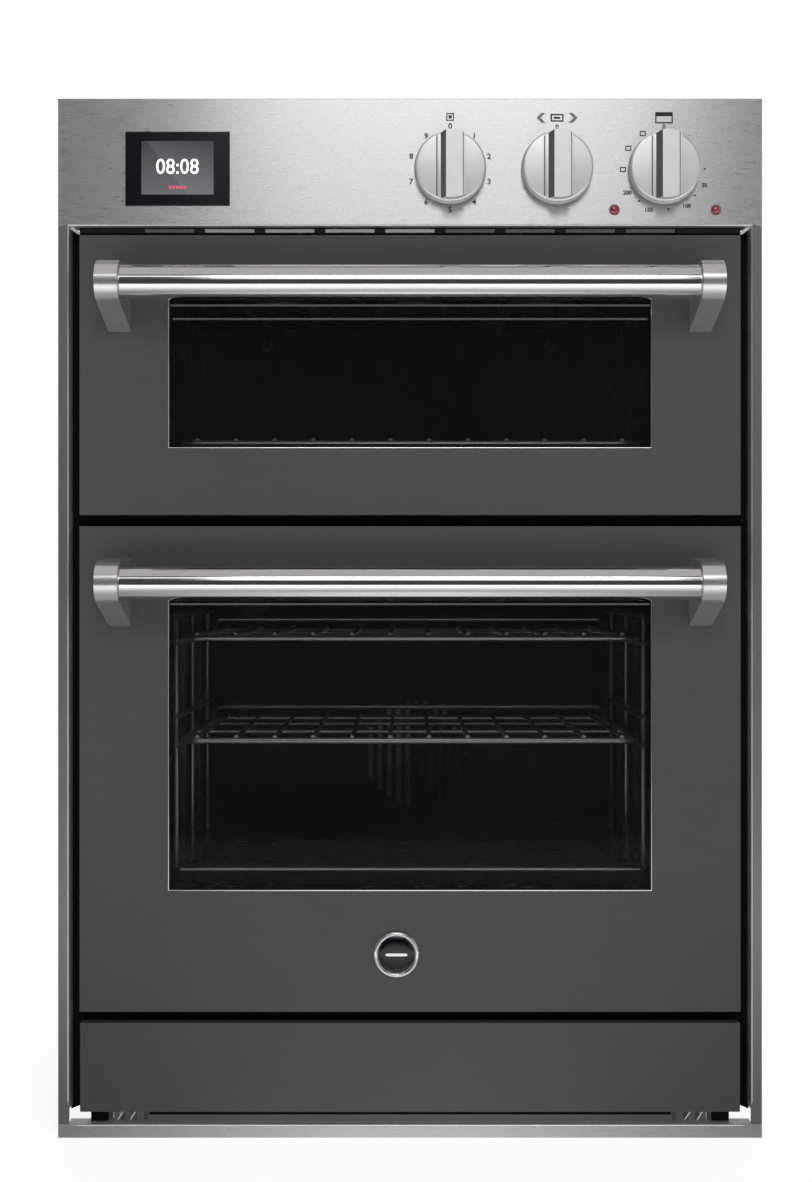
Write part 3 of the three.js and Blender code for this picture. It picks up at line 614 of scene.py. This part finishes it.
def on_doorway(edge):
    """Whether an edge lies on the doorway's outline, away from its bottom corners."""
    centre = (edge.verts[0].co + edge.verts[1].co) / 2
    near_corner = centre.z < CORNER_TOP and abs(centre.x) > CORNER_SIDE
    return on_outline(edge, OPENING_HALF, OPENING_BOTTOM, OPENING_TOP) and not near_corner


def on_rim(edge):
    """Whether an edge lies on the outer outline of the front face."""
    return on_outline(edge, FASCIA_HIGH.x, FASCIA_LOW.z, FASCIA_HIGH.z)


def fascia_finish(face):
    """0 is the brushed front, 1 the upright trims, 2 the folds inside the doorway, 3 its polished edge."""
    centre = face.calc_center_median()
    across, normal = abs(centre.x) - OPENING_HALF, face.normal
    inside = across < HEM and OPENING_BOTTOM - HEM < centre.z < OPENING_TOP + HEM
    if inside and abs(normal.y) < 0.05 and centre.y > FACE_Y + MM:
        return 2
    if inside and abs(normal.y) < 0.98:
        return 3
    return 1 if across > -MM and OPENING_BOTTOM < centre.z < OPENING_TOP else 0


def cut_across(shape, faces, place, normal):
    """Splits some faces where a plane crosses them."""
    edges = {edge for face in faces for edge in face.edges}
    verts = {vert for edge in edges for vert in edge.verts}
    geometry = [*verts, *edges, *faces]
    bmesh.ops.bisect_plane(shape, geom=geometry, dist=2 * FLAT, plane_co=place, plane_no=normal)


def make_fascia():
    shape = plain_copy("front_fascia")
    for height in (OPENING_TOP, OPENING_BOTTOM, CORNER_TOP):
        cut_across(shape, shape.faces, (0, 0, height), (0, 0, 1))
    for sign in SIDES.values():
        low_faces = [
            face for face in shape.faces if all(vert.co.z < CORNER_TOP + FLAT for vert in face.verts)
        ]
        cut_across(shape, low_faces, (sign * CORNER_SIDE, 0, 0), (1, 0, 0))
    round_edges(shape, HEM, 6, keep=on_doorway, clamp=False)
    round_edges(shape, 0.6 * MM, 3, keep=on_rim, clamp=False)
    shape.normal_update()
    for face in shape.faces:
        face.material_index = fascia_finish(face)
    finishes = ("fascia_steel", "trim_steel", "fold_steel", "hem_steel")
    replace_node("front_fascia", shape, finishes, flat_area=FLAT)


def make_corner_slips():
    """Bright slips of folded sheet across the doorway's top corners."""
    shape = bmesh.new()
    for sign in SIDES.values():
        outline = [(288.2, 771.4), (285.2, 771.4), (280, 767.4), (280, 765.4), (281.4, 765.4), (288.2, 770.2)]
        corners = [(sign * x * MM, z * MM) for x, z in outline]
        add_prism(shape, ORIGIN, corners, corners, FACE_Y + 3.4 * MM, FACE_Y + 2.4 * MM)
    add_piece("corner_slips", shape, ["hem_steel"], "fascia_steel")


def ring_place(knob, turn, radius):
    """A point on the panel at an angle clockwise from the top of a knob."""
    centre = middle(knob)
    angle = math.radians(turn)
    x = centre.x + radius * math.sin(angle)
    z = centre.z + radius * math.cos(angle)
    return Vector((x, FACE_Y - 0.06 * MM, z))


PRINT = Vector((0, 0.05 * MM, 0))


def add_bar_mark(shape, centre, width, height):
    """A small filled rectangle, printed flat on the panel."""
    half = Vector((width / 2, 0, height / 2))
    add_box(shape, centre - half - PRINT, centre + half)


def add_frame_mark(shape, centre, width, height, line):
    """A small outlined rectangle, printed flat on the panel."""
    for sign in SIDES.values():
        up = Vector((0, 0, sign * (height - line) / 2))
        add_bar_mark(shape, centre + up, width, line)
        across = Vector((sign * (width - line) / 2, 0, 0))
        add_bar_mark(shape, centre + across, line, height - 2 * line)


def make_markings():
    """Printed scales round the knobs: numbers, dots and plain pictograms."""
    shape = bmesh.new()
    function, clock, thermostat = KNOBS
    digit = 5 * MM
    for number in range(10):
        away = (34.6 if number else 36.2) * MM
        text_shape(shape, str(number), ring_place(function, 36 * number, away), digit)
    for knob in (clock, thermostat):
        text_shape(shape, "0", ring_place(knob, 0, 35.6 * MM), digit * 0.85)
    for turn, label in ((112, "50"), (148, "100"), (200, "150"), (237, "200")):
        text_shape(shape, label, ring_place(thermostat, turn, 37 * MM), 3.8 * MM, bold=0.04)
    for turn in (90, 131, 174, 218):
        add_bar_mark(shape, ring_place(thermostat, turn, 34.5 * MM), 1.5 * MM, 1.5 * MM)
    for turn in (-31, -60, -91):
        add_frame_mark(shape, ring_place(thermostat, turn, 34.8 * MM), 5.2 * MM, 4.4 * MM, 0.9 * MM)
    head = ring_place(function, 0, 44 * MM)
    add_frame_mark(shape, head, 6.5 * MM, 6.5 * MM, 0.9 * MM)
    add_bar_mark(shape, head, 2.6 * MM, 2.6 * MM)
    head = ring_place(clock, 0, 43.2 * MM)
    add_frame_mark(shape, head, 11 * MM, 6.6 * MM, 1.2 * MM)
    add_bar_mark(shape, head, 5.5 * MM, 1.6 * MM)
    head = ring_place(thermostat, 0, 43.2 * MM)
    add_frame_mark(shape, head, 15 * MM, 9.6 * MM, 1.1 * MM)
    add_bar_mark(shape, head + Vector((0, 0, 2.6 * MM)), 13 * MM, 2.6 * MM)
    add_piece("panel_marks", shape, ["ink"], "dark_plastic")


def make_chevrons():
    """Two pale arrows either side of the clock knob's mark."""
    shape = bmesh.new()
    head = ring_place("clock_knob", 0, 43.2 * MM)
    for sign in SIDES.values():
        for lift in (-4.2 * MM, 4.2 * MM):
            tip, tail, thick = sign * 17.5 * MM, sign * 13.3 * MM, sign * 3.6 * MM
            corners = [(tip, 0), (tail, lift), (tail - thick, lift), (tip - thick, 0)]
            add_prism(shape, head, corners, corners, -PRINT.y, 0)
    add_piece("panel_arrows", shape, ["faint_ink"], "dark_plastic")


# -------- display


def make_display():
    refine("display_glass", 0.4 * MM)
    centre = middle("display_glass")
    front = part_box("display_glass")[0].y
    lift = 0.8 * MM
    half_width, half_height = 30.5 * MM, 22.6 * MM
    screen_low = Vector((centre.x - half_width, front - 0.08 * MM, centre.z + lift - half_height))
    screen_high = Vector((centre.x + half_width, front - 0.01 * MM, centre.z + lift + half_height))
    MATERIALS["lit_screen"] = lit_screen(screen_low, screen_high).material
    screen = bmesh.new()
    add_box(screen, screen_low, screen_high)
    add_piece("display_screen", screen, ["lit_screen"], "display_glass")
    clock = bmesh.new()
    clock_at = (centre.x, front - 0.14 * MM, centre.z + 2 * MM)
    text_shape(clock, "08:08", clock_at, height=13 * MM, width=36 * MM, bold=0.005)
    add_piece("display_clock", clock, ["clock_white"], "display_glass")
    bar = bmesh.new()
    for step in (-2, -1, 0, 1, 2):
        place = Vector((centre.x + step * 3.1 * MM, front - 0.1 * MM, centre.z - 15.8 * MM))
        add_bar_mark(bar, place, 2.5 * MM, 2.6 * MM)
    add_piece("display_bar", bar, ["clock_red"], "display_glass")


# -------- knobs

KNOB_BACK = FACE_Y - 2.5 * MM
KNOB_FACE = KNOB_BACK - 11.5 * MM


def ridge_outline(left, right, radius):
    """Corners of a band of a round face, between two upright lines, going round once."""
    steps = 14
    corners = []
    for start, end, turn in ((right, left, 1), (left, right, -1)):
        first, last = math.acos(start / radius), math.acos(end / radius)
        for step in range(steps + 1):
            angle = first + (last - first) * step / steps
            corners.append((radius * math.cos(angle), turn * radius * math.sin(angle)))
    return corners


def add_band(shape, centre, left, right, radius, base, height):
    """A thin dark band of painted shade that runs from top to bottom over a knob's face or crest."""
    outline = ridge_outline(left, right, radius)
    add_prism(shape, centre, outline, outline, base, base - height, index=1)


def make_knob(name):
    """Round knob: a tapered disc and a grip ridge standing on it, with painted shade in dark satin along the
    ridge: thin bands by its foot and crest edge, and on its left flank and right edge.
    """
    low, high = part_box(name)
    radius = (high.x - low.x) / 2
    centre = Vector(((low.x + high.x) / 2, 0, (low.z + high.z) / 2))
    crest = low.y
    right = 11.5 * MM
    shape = bmesh.new()
    outline = [(0.8, 0), (0, 0.8), (0.2, 3), (0.7, 9.9), (1, 10.8), (1.9, 11.4), (2.6, 11.5)]
    profile = [(radius - inset * MM, depth * MM - KNOB_BACK) for inset, depth in outline]
    add_turned(shape, profile, centre, 96)
    # Thin dark bands by the ridge's foot and along its crest's right edge are painted shade.
    add_band(shape, centre, -12 * MM, -10.9 * MM, radius - 2.7 * MM, KNOB_FACE, 0.12 * MM)
    add_band(shape, centre, 10 * MM, 10.8 * MM, radius - 2.3 * MM, crest, 0.05 * MM)
    foot = ridge_outline(-8.2 * MM, right, radius - 2 * MM)
    top = ridge_outline(-4 * MM, right, radius - 2 * MM)
    ridge = add_prism(shape, centre, foot, top, KNOB_FACE, crest)
    ridge_edges = {edge for face in ridge for edge in face.edges}
    round_edges(shape, 0.6 * MM, 3, keep=lambda edge: edge in ridge_edges)
    # A fine line near the top of the crest points at the marks.
    add_box(
        shape,
        (centre.x + 1.9 * MM, crest - 0.02 * MM, centre.z + 20 * MM),
        (centre.x + 2.7 * MM, crest + 0.5 * MM, centre.z + 26 * MM),
    )
    shape.normal_update()
    # Dark satin on the ridge's left flank and right edge is painted shade.
    for face in shape.faces:
        place = face.calc_center_median()
        upright = abs(face.normal.z) < 0.3
        flank = upright and face.normal.x < -0.6
        right_edge = upright and face.normal.x > 0.2 and place.x - centre.x > 10.8 * MM
        on_ridge = place.y < KNOB_FACE - 0.3 * MM and abs(place.x - centre.x) < 12 * MM
        if on_ridge and (flank or right_edge):
            face.material_index = 1
    replace_node(name, shape, ("knob_metal", "knob_groove"), angle=28)


def make_stem(knob):
    """The turned stem behind a knob, which its fine piece leaves out."""
    centre = middle(knob)
    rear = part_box(knob)[1].y
    shape = bmesh.new()
    add_tube(shape, [(centre.x, FACE_Y - 4 * MM, centre.z), (centre.x, rear, centre.z)], 3 * MM, sides=24)
    add_piece(f"{knob}_stem", shape, ["zinc"], "zinc", knob)


def add_rounds(shape, base, outlines, scale, steps):
    """Turned shapes that stand on the face; each takes the next material. Depths are in millimetres."""
    for index, outline in enumerate(outlines):
        profile = [(radius * scale, -FACE_Y + depth * MM) for radius, depth in outline]
        add_turned(shape, profile, base, steps, index)


def make_indicator(side):
    """A red dome in a thin dark bezel."""
    node = f"indicator_lens_{side}"
    centre = middle(node)
    lens = [(3.9, -4), (3.9, 0.2), (3.4, 0.9), (2.4, 1.5), (1.2, 1.8), (0.3, 1.9)]
    bezel = [(4.1, 0.05), (4.6, 0.05), (4.55, 0.4), (4.3, 0.5)]
    shape = bmesh.new()
    add_rounds(shape, Vector((centre.x, 0, centre.z)), (lens, bezel), MM, 40)
    replace_node(node, shape, ("red_lens", "knob_groove"))


# -------- doors


def make_door_panel(door):
    """Door panel with rounded edges and a bright cut edge round the window."""
    low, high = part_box(f"{door}_outer_glass")
    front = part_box(f"{door}_panel")[0].y
    glass_margin, rim = 9.5 * MM, 0.95 * MM
    inset = glass_margin - rim

    def on_window_edge(point):
        across = low.x + inset < point.x < high.x - inset
        up = low.z + inset < point.z < high.z - inset
        return across and up and point.y < front + 1.7 * MM

    def paint(face):
        return 1 if all(on_window_edge(vert.co) for vert in face.verts) else 0

    refine(f"{door}_panel", 0.8 * MM, 3, paint, ["edge_steel"])


def make_handle(door):
    """Handle bar: a long tube with softly rounded ends."""
    node = f"{door}_handle_bar"
    low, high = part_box(node)
    centre = (low + high) / 2
    radius = (high.z - low.z) / 2
    ends = 1.2 * MM
    run = [(low.x, radius - ends), (low.x + ends, radius), (high.x - ends, radius), (high.x, radius - ends)]
    rings = [
        circle(Vector((x, centre.y, centre.z)), Vector((0, size, 0)), Vector((0, 0, size)), 96)
        for x, size in run
    ]
    shape = bmesh.new()
    join_rings(shape, rings)
    replace_node(node, shape, ["handle_steel"])


def bracket_outline(low, high, bar):
    """Depth and height of a bracket's outline: a round cap on the bar, with straight flanks to the foot."""
    cap = bar.y - low.y
    points = [(high.y, low.z), (high.y, high.z)]
    start, end = math.radians(90), math.radians(249)
    steps = 32
    for step in range(steps + 1):
        angle = start + (end - start) * step / steps
        points.append((bar.y + cap * math.cos(angle), bar.z + cap * math.sin(angle)))
    return points


def make_bracket(door, side):
    """Cast bracket that leans a little inward from the bar to its foot."""
    node = f"{door}_bracket_{side}"
    low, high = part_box(node)
    outline = bracket_outline(low, high, middle(f"{door}_handle_bar"))
    lean = -math.copysign(4.2 * MM, low.x) / (high.y - low.y)
    shape = bmesh.new()
    join_rings(shape, [[(x + lean * (y - low.y), y, z) for y, z in outline] for x in (low.x, high.x)])
    round_edges(shape, 1.3 * MM, 4, angle=60)
    replace_node(node, shape, ["bracket_steel"], angle=40)


def make_badge():
    """Round badge: a bright ring round a black dome, with a plain bright line across it."""
    low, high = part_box("door_badge")
    centre = (low + high) / 2
    radius = (high.x - low.x) / 2
    base = Vector((centre.x, 0, centre.z))
    ring = [(1.0, 0.3), (1.0, 1.6), (0.97, 2.3), (0.92, 2.7), (0.87, 2.5), (0.84, 1.9), (0.83, 1.2)]
    dome = [(0.84, 1.0), (0.8, 1.5), (0.6, 1.95), (0.35, 2.2), (0.08, 2.3)]
    shape = bmesh.new()
    add_rounds(shape, base, (ring, dome), radius, 96)
    line = [(-0.42, -0.06), (0.42, -0.06), (0.5, 0), (0.42, 0.06), (-0.42, 0.06), (-0.5, 0)]
    corners = [(radius * x, radius * z) for x, z in line]
    add_prism(shape, base, corners, corners, FACE_Y - 1.8 * MM, FACE_Y - 2.45 * MM)
    replace_node("door_badge", shape, ("edge_steel", "display_glass"))


# -------- vents


def make_vent_louvres():
    """Louvre blades in the vent strip over the upper door: bright on the left by a painted reflection, duller
    to the right by painted shade.
    """
    low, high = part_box("top_vent_grille")
    pitch = 51 * MM
    half = 20.8 * MM
    # Blades 1 to 4 take the brighter steel, a painted reflection; the others take the darker steel, painted
    # shade.
    for name, finish, numbers in (
        ("vent_louvres", "louvre_steel", (1, 2, 3, 4)),
        ("vent_louvres_shaded", "dull_louvre", (0, 5, 6, 7, 8)),
    ):
        shape = bmesh.new()
        for number in numbers:
            centre = (number - 4) * pitch
            add_box(
                shape,
                (centre - half, low.y - 0.4 * MM, low.z + 0.7 * MM),
                (centre + half, low.y + 0.9 * MM, high.z - 1.1 * MM),
            )
        add_piece(name, shape, [finish], "vent_metal")


def make_plinth_louvres():
    """Grey blades in the plinth strip's slots, bright slanted ribs across them, black blocks in front at its
    ends and a black strip along its top that is a painted shadow.
    """
    low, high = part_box("plinth_grille")
    lean, half = 2.5 * MM, 0.7 * MM
    foot, head = low.z + 0.6 * MM, high.z - 1.6 * MM
    black_front, black_back = low.y - 0.5 * MM, low.y - 0.1 * MM
    painted_shadow_half = 222 * MM
    blades, ribs = bmesh.new(), bmesh.new()
    for sign in SIDES.values():
        for near in (222, 232, 242, 252):
            left, right = sorted((sign * (near + 0.3) * MM, sign * (near + 4.7) * MM))
            add_box(
                blades,
                (left, low.y + 0.2 * MM, low.z + 1.2 * MM),
                (right, low.y + 0.9 * MM, high.z - 2 * MM),
            )
        for near in (236, 246.5):
            bottom, top = sign * near * MM - lean, sign * near * MM + lean
            corners = [(bottom - half, foot), (bottom + half, foot), (top + half, head), (top - half, head)]
            add_prism(ribs, ORIGIN, corners, corners, low.y - 0.05 * MM, low.y - 0.6 * MM)
        left, right = sorted((sign * 256.5 * MM, sign * 271.4 * MM))
        add_box(blades, (left, black_front, low.z + 0.1 * MM), (right, black_back, high.z - 0.1 * MM))
    # A black strip along the top of the plinth: a painted shadow under the bottom panel.
    add_box(blades, (-painted_shadow_half, black_front, 17.5 * MM), (painted_shadow_half, black_back, 20.2 * MM))
    for face in blades.faces:
        face.material_index = 1 if face.calc_center_median().y < low.y else 0
    add_piece("plinth_blades", blades, ("dull_louvre", "black_paint"), "vent_metal")
    add_piece("plinth_ribs", ribs, ["edge_steel"], "vent_metal")


def make_frame_screws():
    """Black screws that hold the frame to the cabinet, one in each of its four holes."""
    shape = bmesh.new()
    sheet_y = FASCIA_HIGH.y + 0.25 * MM
    for x in (-284 * MM, 284 * MM):
        for z in (70 * MM, 523 * MM):
            add_screw(shape, (x, sheet_y, z), (0, -1, 0), 3.4 * MM)
    add_piece("frame_screws", shape, ["black_paint"], "black_paint")


def make_window_strips():
    """Thin strips across the glass, just under each handle."""
    thick = 0.8 * MM
    # Height and half width of each strip, in millimetres.
    strips = {"upper_door": ((705, 203), (693.5, 201)), "lower_door": ((452, 203),)}
    for door, places in strips.items():
        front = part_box(f"{door}_outer_glass")[0].y
        shape = bmesh.new()
        for height, half in places:
            add_box(
                shape,
                (-half * MM, front - 1.4 * MM, height * MM - thick),
                (half * MM, front - 0.1 * MM, height * MM + thick),
            )
        add_piece(f"{door}_glass_strips", shape, ["strip_grey"], "zinc", door)


# -------- racks


def make_rack(node):
    """Wire shelf of round wire: a rounded frame, a raised rear bar and wires from front to back."""
    low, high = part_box(node)
    thick, thin = 3 * MM, 2 * MM
    left, right = low.x + thick, high.x - thick
    front, rear = low.y + thick, high.y - thick
    level = low.z + thick
    shape = bmesh.new()
    corners = [(left, front, level), (right, front, level), (right, rear, level), (left, rear, level)]
    add_tube(shape, rounded_corners(corners, 14 * MM), thick, closed=True)
    raised = (rear - 2 * MM, level + 12 * MM)
    start = (high.y - 26 * MM, level)
    rail = [(left, *start), (left, *raised), (right, *raised), (right, *start)]
    add_tube(shape, rounded_corners(rail, 8 * MM, closed=False), thick * 0.9)
    wires = 12
    pitch = 33.8 * MM
    for i in range(wires):
        x = (i - (wires - 1) / 2) * pitch
        run = [(x, low.y + 1.5 * MM, level + thick), (x, high.y - 2 * MM, level + thick)]
        add_tube(shape, run, thin, 10)
    for share in (0.36, 0.7):
        y = low.y + (high.y - low.y) * share
        add_tube(shape, [(left, y, level), (right, y, level)], thin, 10)
    replace_node(node, shape, ["chrome_wire"])


def make_tray_rim():
    """Rolled rim along the front of the drip tray."""
    low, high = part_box("drip_tray")
    y, z = low.y + 1 * MM, high.z - 4.6 * MM
    shape = bmesh.new()
    add_tube(shape, [(low.x + 2 * MM, y, z), (high.x - 2 * MM, y, z)], 2.2 * MM, 16)
    add_piece("drip_tray_rim", shape, ["chrome_wire"], "chrome_wire", "drip_tray")


def make_side_rack(side, sign):
    """Wire side support: upright wires and pairs of rails, bent into closed loops."""
    node = f"side_rack_{side}"
    low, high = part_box(node)
    inner, outer = (low.x, high.x) if sign > 0 else (high.x, low.x)
    wire = 2.2 * MM
    rail_x = inner + sign * 3 * MM
    post_x = outer - sign * wire
    front, rear = low.y + 20 * MM, high.y - 14 * MM
    bottom, top = low.z + wire, high.z - wire
    middle_y = (low.y + high.y) / 2
    shape = bmesh.new()
    corners = [(post_x, front, bottom), (post_x, rear, bottom), (post_x, rear, top), (post_x, front, top)]
    add_tube(shape, rounded_corners(corners, 10 * MM), wire, 10, closed=True)
    add_tube(shape, [(post_x, middle_y, bottom), (post_x, middle_y, top)], wire, 10)
    levels = [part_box("drip_tray")[1].z - 3.6 * MM]
    for rack in ("lower_rack_bottom", "lower_rack_top"):
        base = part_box(rack)[0].z
        levels += [base - 2.3 * MM, base + 23 * MM]
    for level in levels:
        rail = [
            (post_x, low.y + 3 * MM, level),
            (rail_x, low.y + 8 * MM, level),
            (rail_x, high.y - 6 * MM, level),
            (post_x, high.y - 2 * MM, level),
        ]
        add_tube(shape, rounded_corners(rail, 4 * MM, closed=False), wire * 0.9, 10)
    replace_node(node, shape, ["chrome_wire"])


def make_grill_element():
    """Grill bar: six legs side by side, joined by half circles, with both ends through the rear wall."""
    node = "upper_grill_element"
    low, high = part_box(node)
    level = (low.z + high.z) / 2
    radius = (high.z - low.z) / 2
    legs, bend_steps = 6, 12
    pitch = (high.x - low.x - 2 * radius) / (legs - 1)
    front, rear = low.y + pitch / 2, high.y - 108 * MM
    points = []
    for i in range(legs):
        x = low.x + radius + i * pitch
        forward = i % 2 == 0
        start = high.y if i == 0 else (rear if forward else front)
        end = high.y if i == legs - 1 else (front if forward else rear)
        points += [(x, start, level), (x, end, level)]
        if i == legs - 1:
            break
        turn = -1 if forward else 1
        for step in range(1, bend_steps):
            angle = math.pi * step / bend_steps
            across = x + pitch / 2 - pitch / 2 * math.cos(angle)
            points.append((across, end + turn * pitch / 2 * math.sin(angle), level))
    shape = bmesh.new()
    add_tube(shape, points, radius, 16)
    replace_node(node, shape, ["element"])


# -------- outer body details


def add_screw(shape, centre, axis, radius=3.6 * MM):
    """A pan-head screw; axis points out of the sheet."""
    turn = Vector(axis).to_track_quat("Z", "Y").to_matrix()
    rings = []
    for share, lift in ((1.0, 0.0), (0.98, 0.35), (0.8, 0.62), (0.45, 0.75)):
        head = Vector(centre) + turn @ Vector((0, 0, lift * radius * 0.6))
        across = turn @ Vector((radius * share, 0, 0))
        up = turn @ Vector((0, radius * share, 0))
        rings.append(circle(head, across, up, 24))
    join_rings(shape, rings)


def make_screws():
    """Screws along the folded edges of the rear cover and the top cover."""
    shape = bmesh.new()
    rear_low, rear_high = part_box("rear_cover")
    plate_y = rear_low.y + 1.3 * MM
    inset = 8 * MM
    for sign in SIDES.values():
        for share in (0.03, 0.27, 0.5, 0.73, 0.97):
            z = rear_low.z + (rear_high.z - rear_low.z) * share
            add_screw(shape, (sign * (rear_high.x - inset), plate_y, z), (0, 1, 0))
    for x in (-150 * MM, 0, 150 * MM):
        for z in (rear_high.z - inset, rear_low.z + inset):
            add_screw(shape, (x, plate_y, z), (0, 1, 0))
    top_low, top_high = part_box("top_cover")
    for sign in SIDES.values():
        for share in (0.08, 0.5, 0.92):
            y = top_low.y + (top_high.y - top_low.y) * share
            add_screw(shape, (sign * (top_high.x - inset), y, top_high.z), (0, 0, 1))
    add_piece("body_screws", shape, ["edge_steel"], "zinc")


def make_side_ribs(side, sign):
    """Long pressed ribs that stiffen a side panel."""
    low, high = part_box(f"side_panel_{side}")
    sheet = high.x if sign > 0 else low.x
    left, right = sorted((sheet, sheet + sign * 1.2 * MM))
    inset = 60 * MM
    half = 9 * MM
    shape = bmesh.new()
    for share in (0.22, 0.5, 0.78):
        z = low.z + (high.z - low.z) * share
        add_box(shape, (left, low.y + inset, z - half), (right, high.y - inset, z + half))
    round_edges(shape, 1.1 * MM, 3)
    add_piece(f"side_ribs_{side}", shape, ["zinc"], "zinc")


# -------- assembly

# Parts whose edges are softened, with the width of the rounding in millimetres.
FINE_EDGES = {
    "bottom_panel": 0.8,
    "front_frame": 0.3,
    "top_vent_grille": 0.2,
    "plinth_grille": 0.2,
    "drip_tray": 0.4,
    "fan_cover": 0.4,
    "base_tray": 0.4,
    "rear_cover": 0.4,
    "top_cover": 0.4,
    "side_panel_left": 0.4,
    "side_panel_right": 0.4,
    "cable_gland": 0.6,
    "upper_door_inner_frame": 0.4,
    "lower_door_inner_frame": 0.4,
}


def paint_nodes():
    """Gives every CAD node that stays its slot's material."""
    for name, node in NODES.items():
        material = MATERIALS[node_finish(name)]
        if not node.material_slots:
            node.data.materials.append(material)
        for used in node.material_slots:
            used.material = material


def make_pieces():
    paint_nodes()
    make_fascia()
    make_corner_slips()
    make_markings()
    make_chevrons()
    make_display()
    for knob in KNOBS:
        make_knob(knob)
    for knob in KNOBS:
        make_stem(knob)
    for side in SIDES:
        make_indicator(side)
    for door in DOORS:
        make_door_panel(door)
        make_handle(door)
        for side in SIDES:
            make_bracket(door, side)
    make_badge()
    make_vent_louvres()
    make_plinth_louvres()
    make_frame_screws()
    make_window_strips()
    for rack in ("upper_rack", "lower_rack_bottom", "lower_rack_top"):
        make_rack(rack)
    make_tray_rim()
    for side, sign in SIDES.items():
        make_side_rack(side, sign)
    make_grill_element()
    make_screws()
    for side, sign in SIDES.items():
        make_side_ribs(side, sign)
    for node, width in FINE_EDGES.items():
        refine(node, width * MM)


# -------- stage, lights and camera


def make_stage():
    """A wide pale floor. It looks evenly white, while what it throws back on the oven dims close to it."""
    shape = bmesh.new()
    add_box(shape, (-3.2, -2.4, -0.02), (3.2, 3.4, 0))
    paint = Shader("floor", grey(0.86), 0.6)
    paint.color(paint.noise(1.5, 2), grey(0.84), grey(0.88))
    # Light comes back from far in front and, close to the oven, from the middle only.
    far = paint.spread(paint.position("Y"), 1, 0, -1.2, -0.55)
    close = paint.spread(paint.position("Y"), 0, 1, -0.65, -0.5)
    from_middle = paint.math("ABSOLUTE", paint.position("X"), 0)
    central = paint.spread(from_middle, 0.6, 0, 0.05, 0.33)
    thrown = paint.math("ADD", far, paint.math("MULTIPLY", close, central))
    by_camera = paint.add("LightPath", {})["Is Camera Ray"]
    seen = paint.math("MULTIPLY", by_camera, 0.75)
    hidden = paint.math("SUBTRACT", 1, by_camera)
    glow = paint.math("ADD", seen, paint.math("MULTIPLY", hidden, thrown))
    paint.drive(Emission_Color=(1, 1, 1, 1), Emission_Strength=glow)
    floor = finish_mesh("floor", shape, [paint.material])


def soft_box(name, place, target, size, glow, tone=(1, 1, 1)):
    """A rectangular light, given by how bright its face looks."""
    data = bpy.data.lights.new(name, "AREA")
    data.shape = "RECTANGLE"
    data.size, data.size_y = size
    data.energy = glow * math.pi * size[0] * size[1]
    data.color = tone
    light = new_object(name, data)
    light.location = place
    light.rotation_euler = (Vector(target) - Vector(place)).to_track_quat("-Z", "Y").to_euler()


def make_lights():
    soft_box("key_panel", (0.1, -3.25, 2.3), (0.1, 0, 1.3), (1.1, 1.2), 3.1)
    soft_box("bar_strip", (0.1, -3.2, 2.4), (0.1, 0, 0.6), (3.4, 0.5), 1.0)
    soft_box("key_foot", (0.1, -3.3, 1.5), (0.1, 0, 1.5), (1.1, 0.45), 0.7)
    soft_box("right_strip", (1.5, -3.0, 0.9), (0, 0, 0.6), (0.5, 1.8), 0.6)
    soft_box("overhead", (0, -1.35, 3.3), (0, -1.0, 0), (4.0, 3.3), 0.45, (1, 0.97, 0.93))
    soft_box("left_wall", (-3.2, -1.0, 1.6), (0, 0, 0.5), (2.0, 2.6), 0.25)
    soft_box("right_wall", (3.2, -1.0, 1.6), (0, 0, 0.5), (2.0, 2.6), 0.5)
    soft_box("rear_wall", (0, 3.6, 2.0), (0, 0.3, 0.5), (3.4, 2.4), 0.9)


def make_world():
    """Pale surroundings where the camera looks, dimmer light from them on the oven."""
    world = bpy.data.worlds.new("studio")
    bpy.context.scene.world = world
    world.use_nodes = True
    tree = world.node_tree
    tree.nodes.clear()
    kinds = ("LightPath", "Background", "Background", "MixShader", "OutputWorld")
    rays, lit, seen, mixed, output = (tree.nodes.new(f"ShaderNode{kind}") for kind in kinds)
    lit.inputs["Color"].default_value = (0.055, 0.055, 0.058, 1)
    seen.inputs["Color"].default_value = (1, 1, 1, 1)
    tree.links.new(rays.outputs["Is Camera Ray"], mixed.inputs["Fac"])
    tree.links.new(lit.outputs["Background"], mixed.inputs[1])
    tree.links.new(seen.outputs["Background"], mixed.inputs[2])
    tree.links.new(mixed.outputs["Shader"], output.inputs["Surface"])


CAMERA_DISTANCE = 1.8
FRAME_HEIGHT = 1.0007
CAMERA_X = -3.4 * MM
CAMERA_Z = 463.1 * MM


def make_camera():
    """Straight-on view from the middle of the front, as wide as the frame needs."""
    data = bpy.data.cameras.new("camera")
    data.sensor_fit = "VERTICAL"
    data.angle = 2 * math.atan(FRAME_HEIGHT / 2 / CAMERA_DISTANCE)
    camera = new_object("camera", data)
    camera.location = (CAMERA_X, FACE_Y - CAMERA_DISTANCE, CAMERA_Z)
    camera.rotation_euler = (math.pi / 2, 0, 0)
    bpy.context.scene.camera = camera


make_camera()
make_pieces()
make_stage()
make_lights()
make_world()
bpy.context.scene.view_settings.view_transform = "Standard"
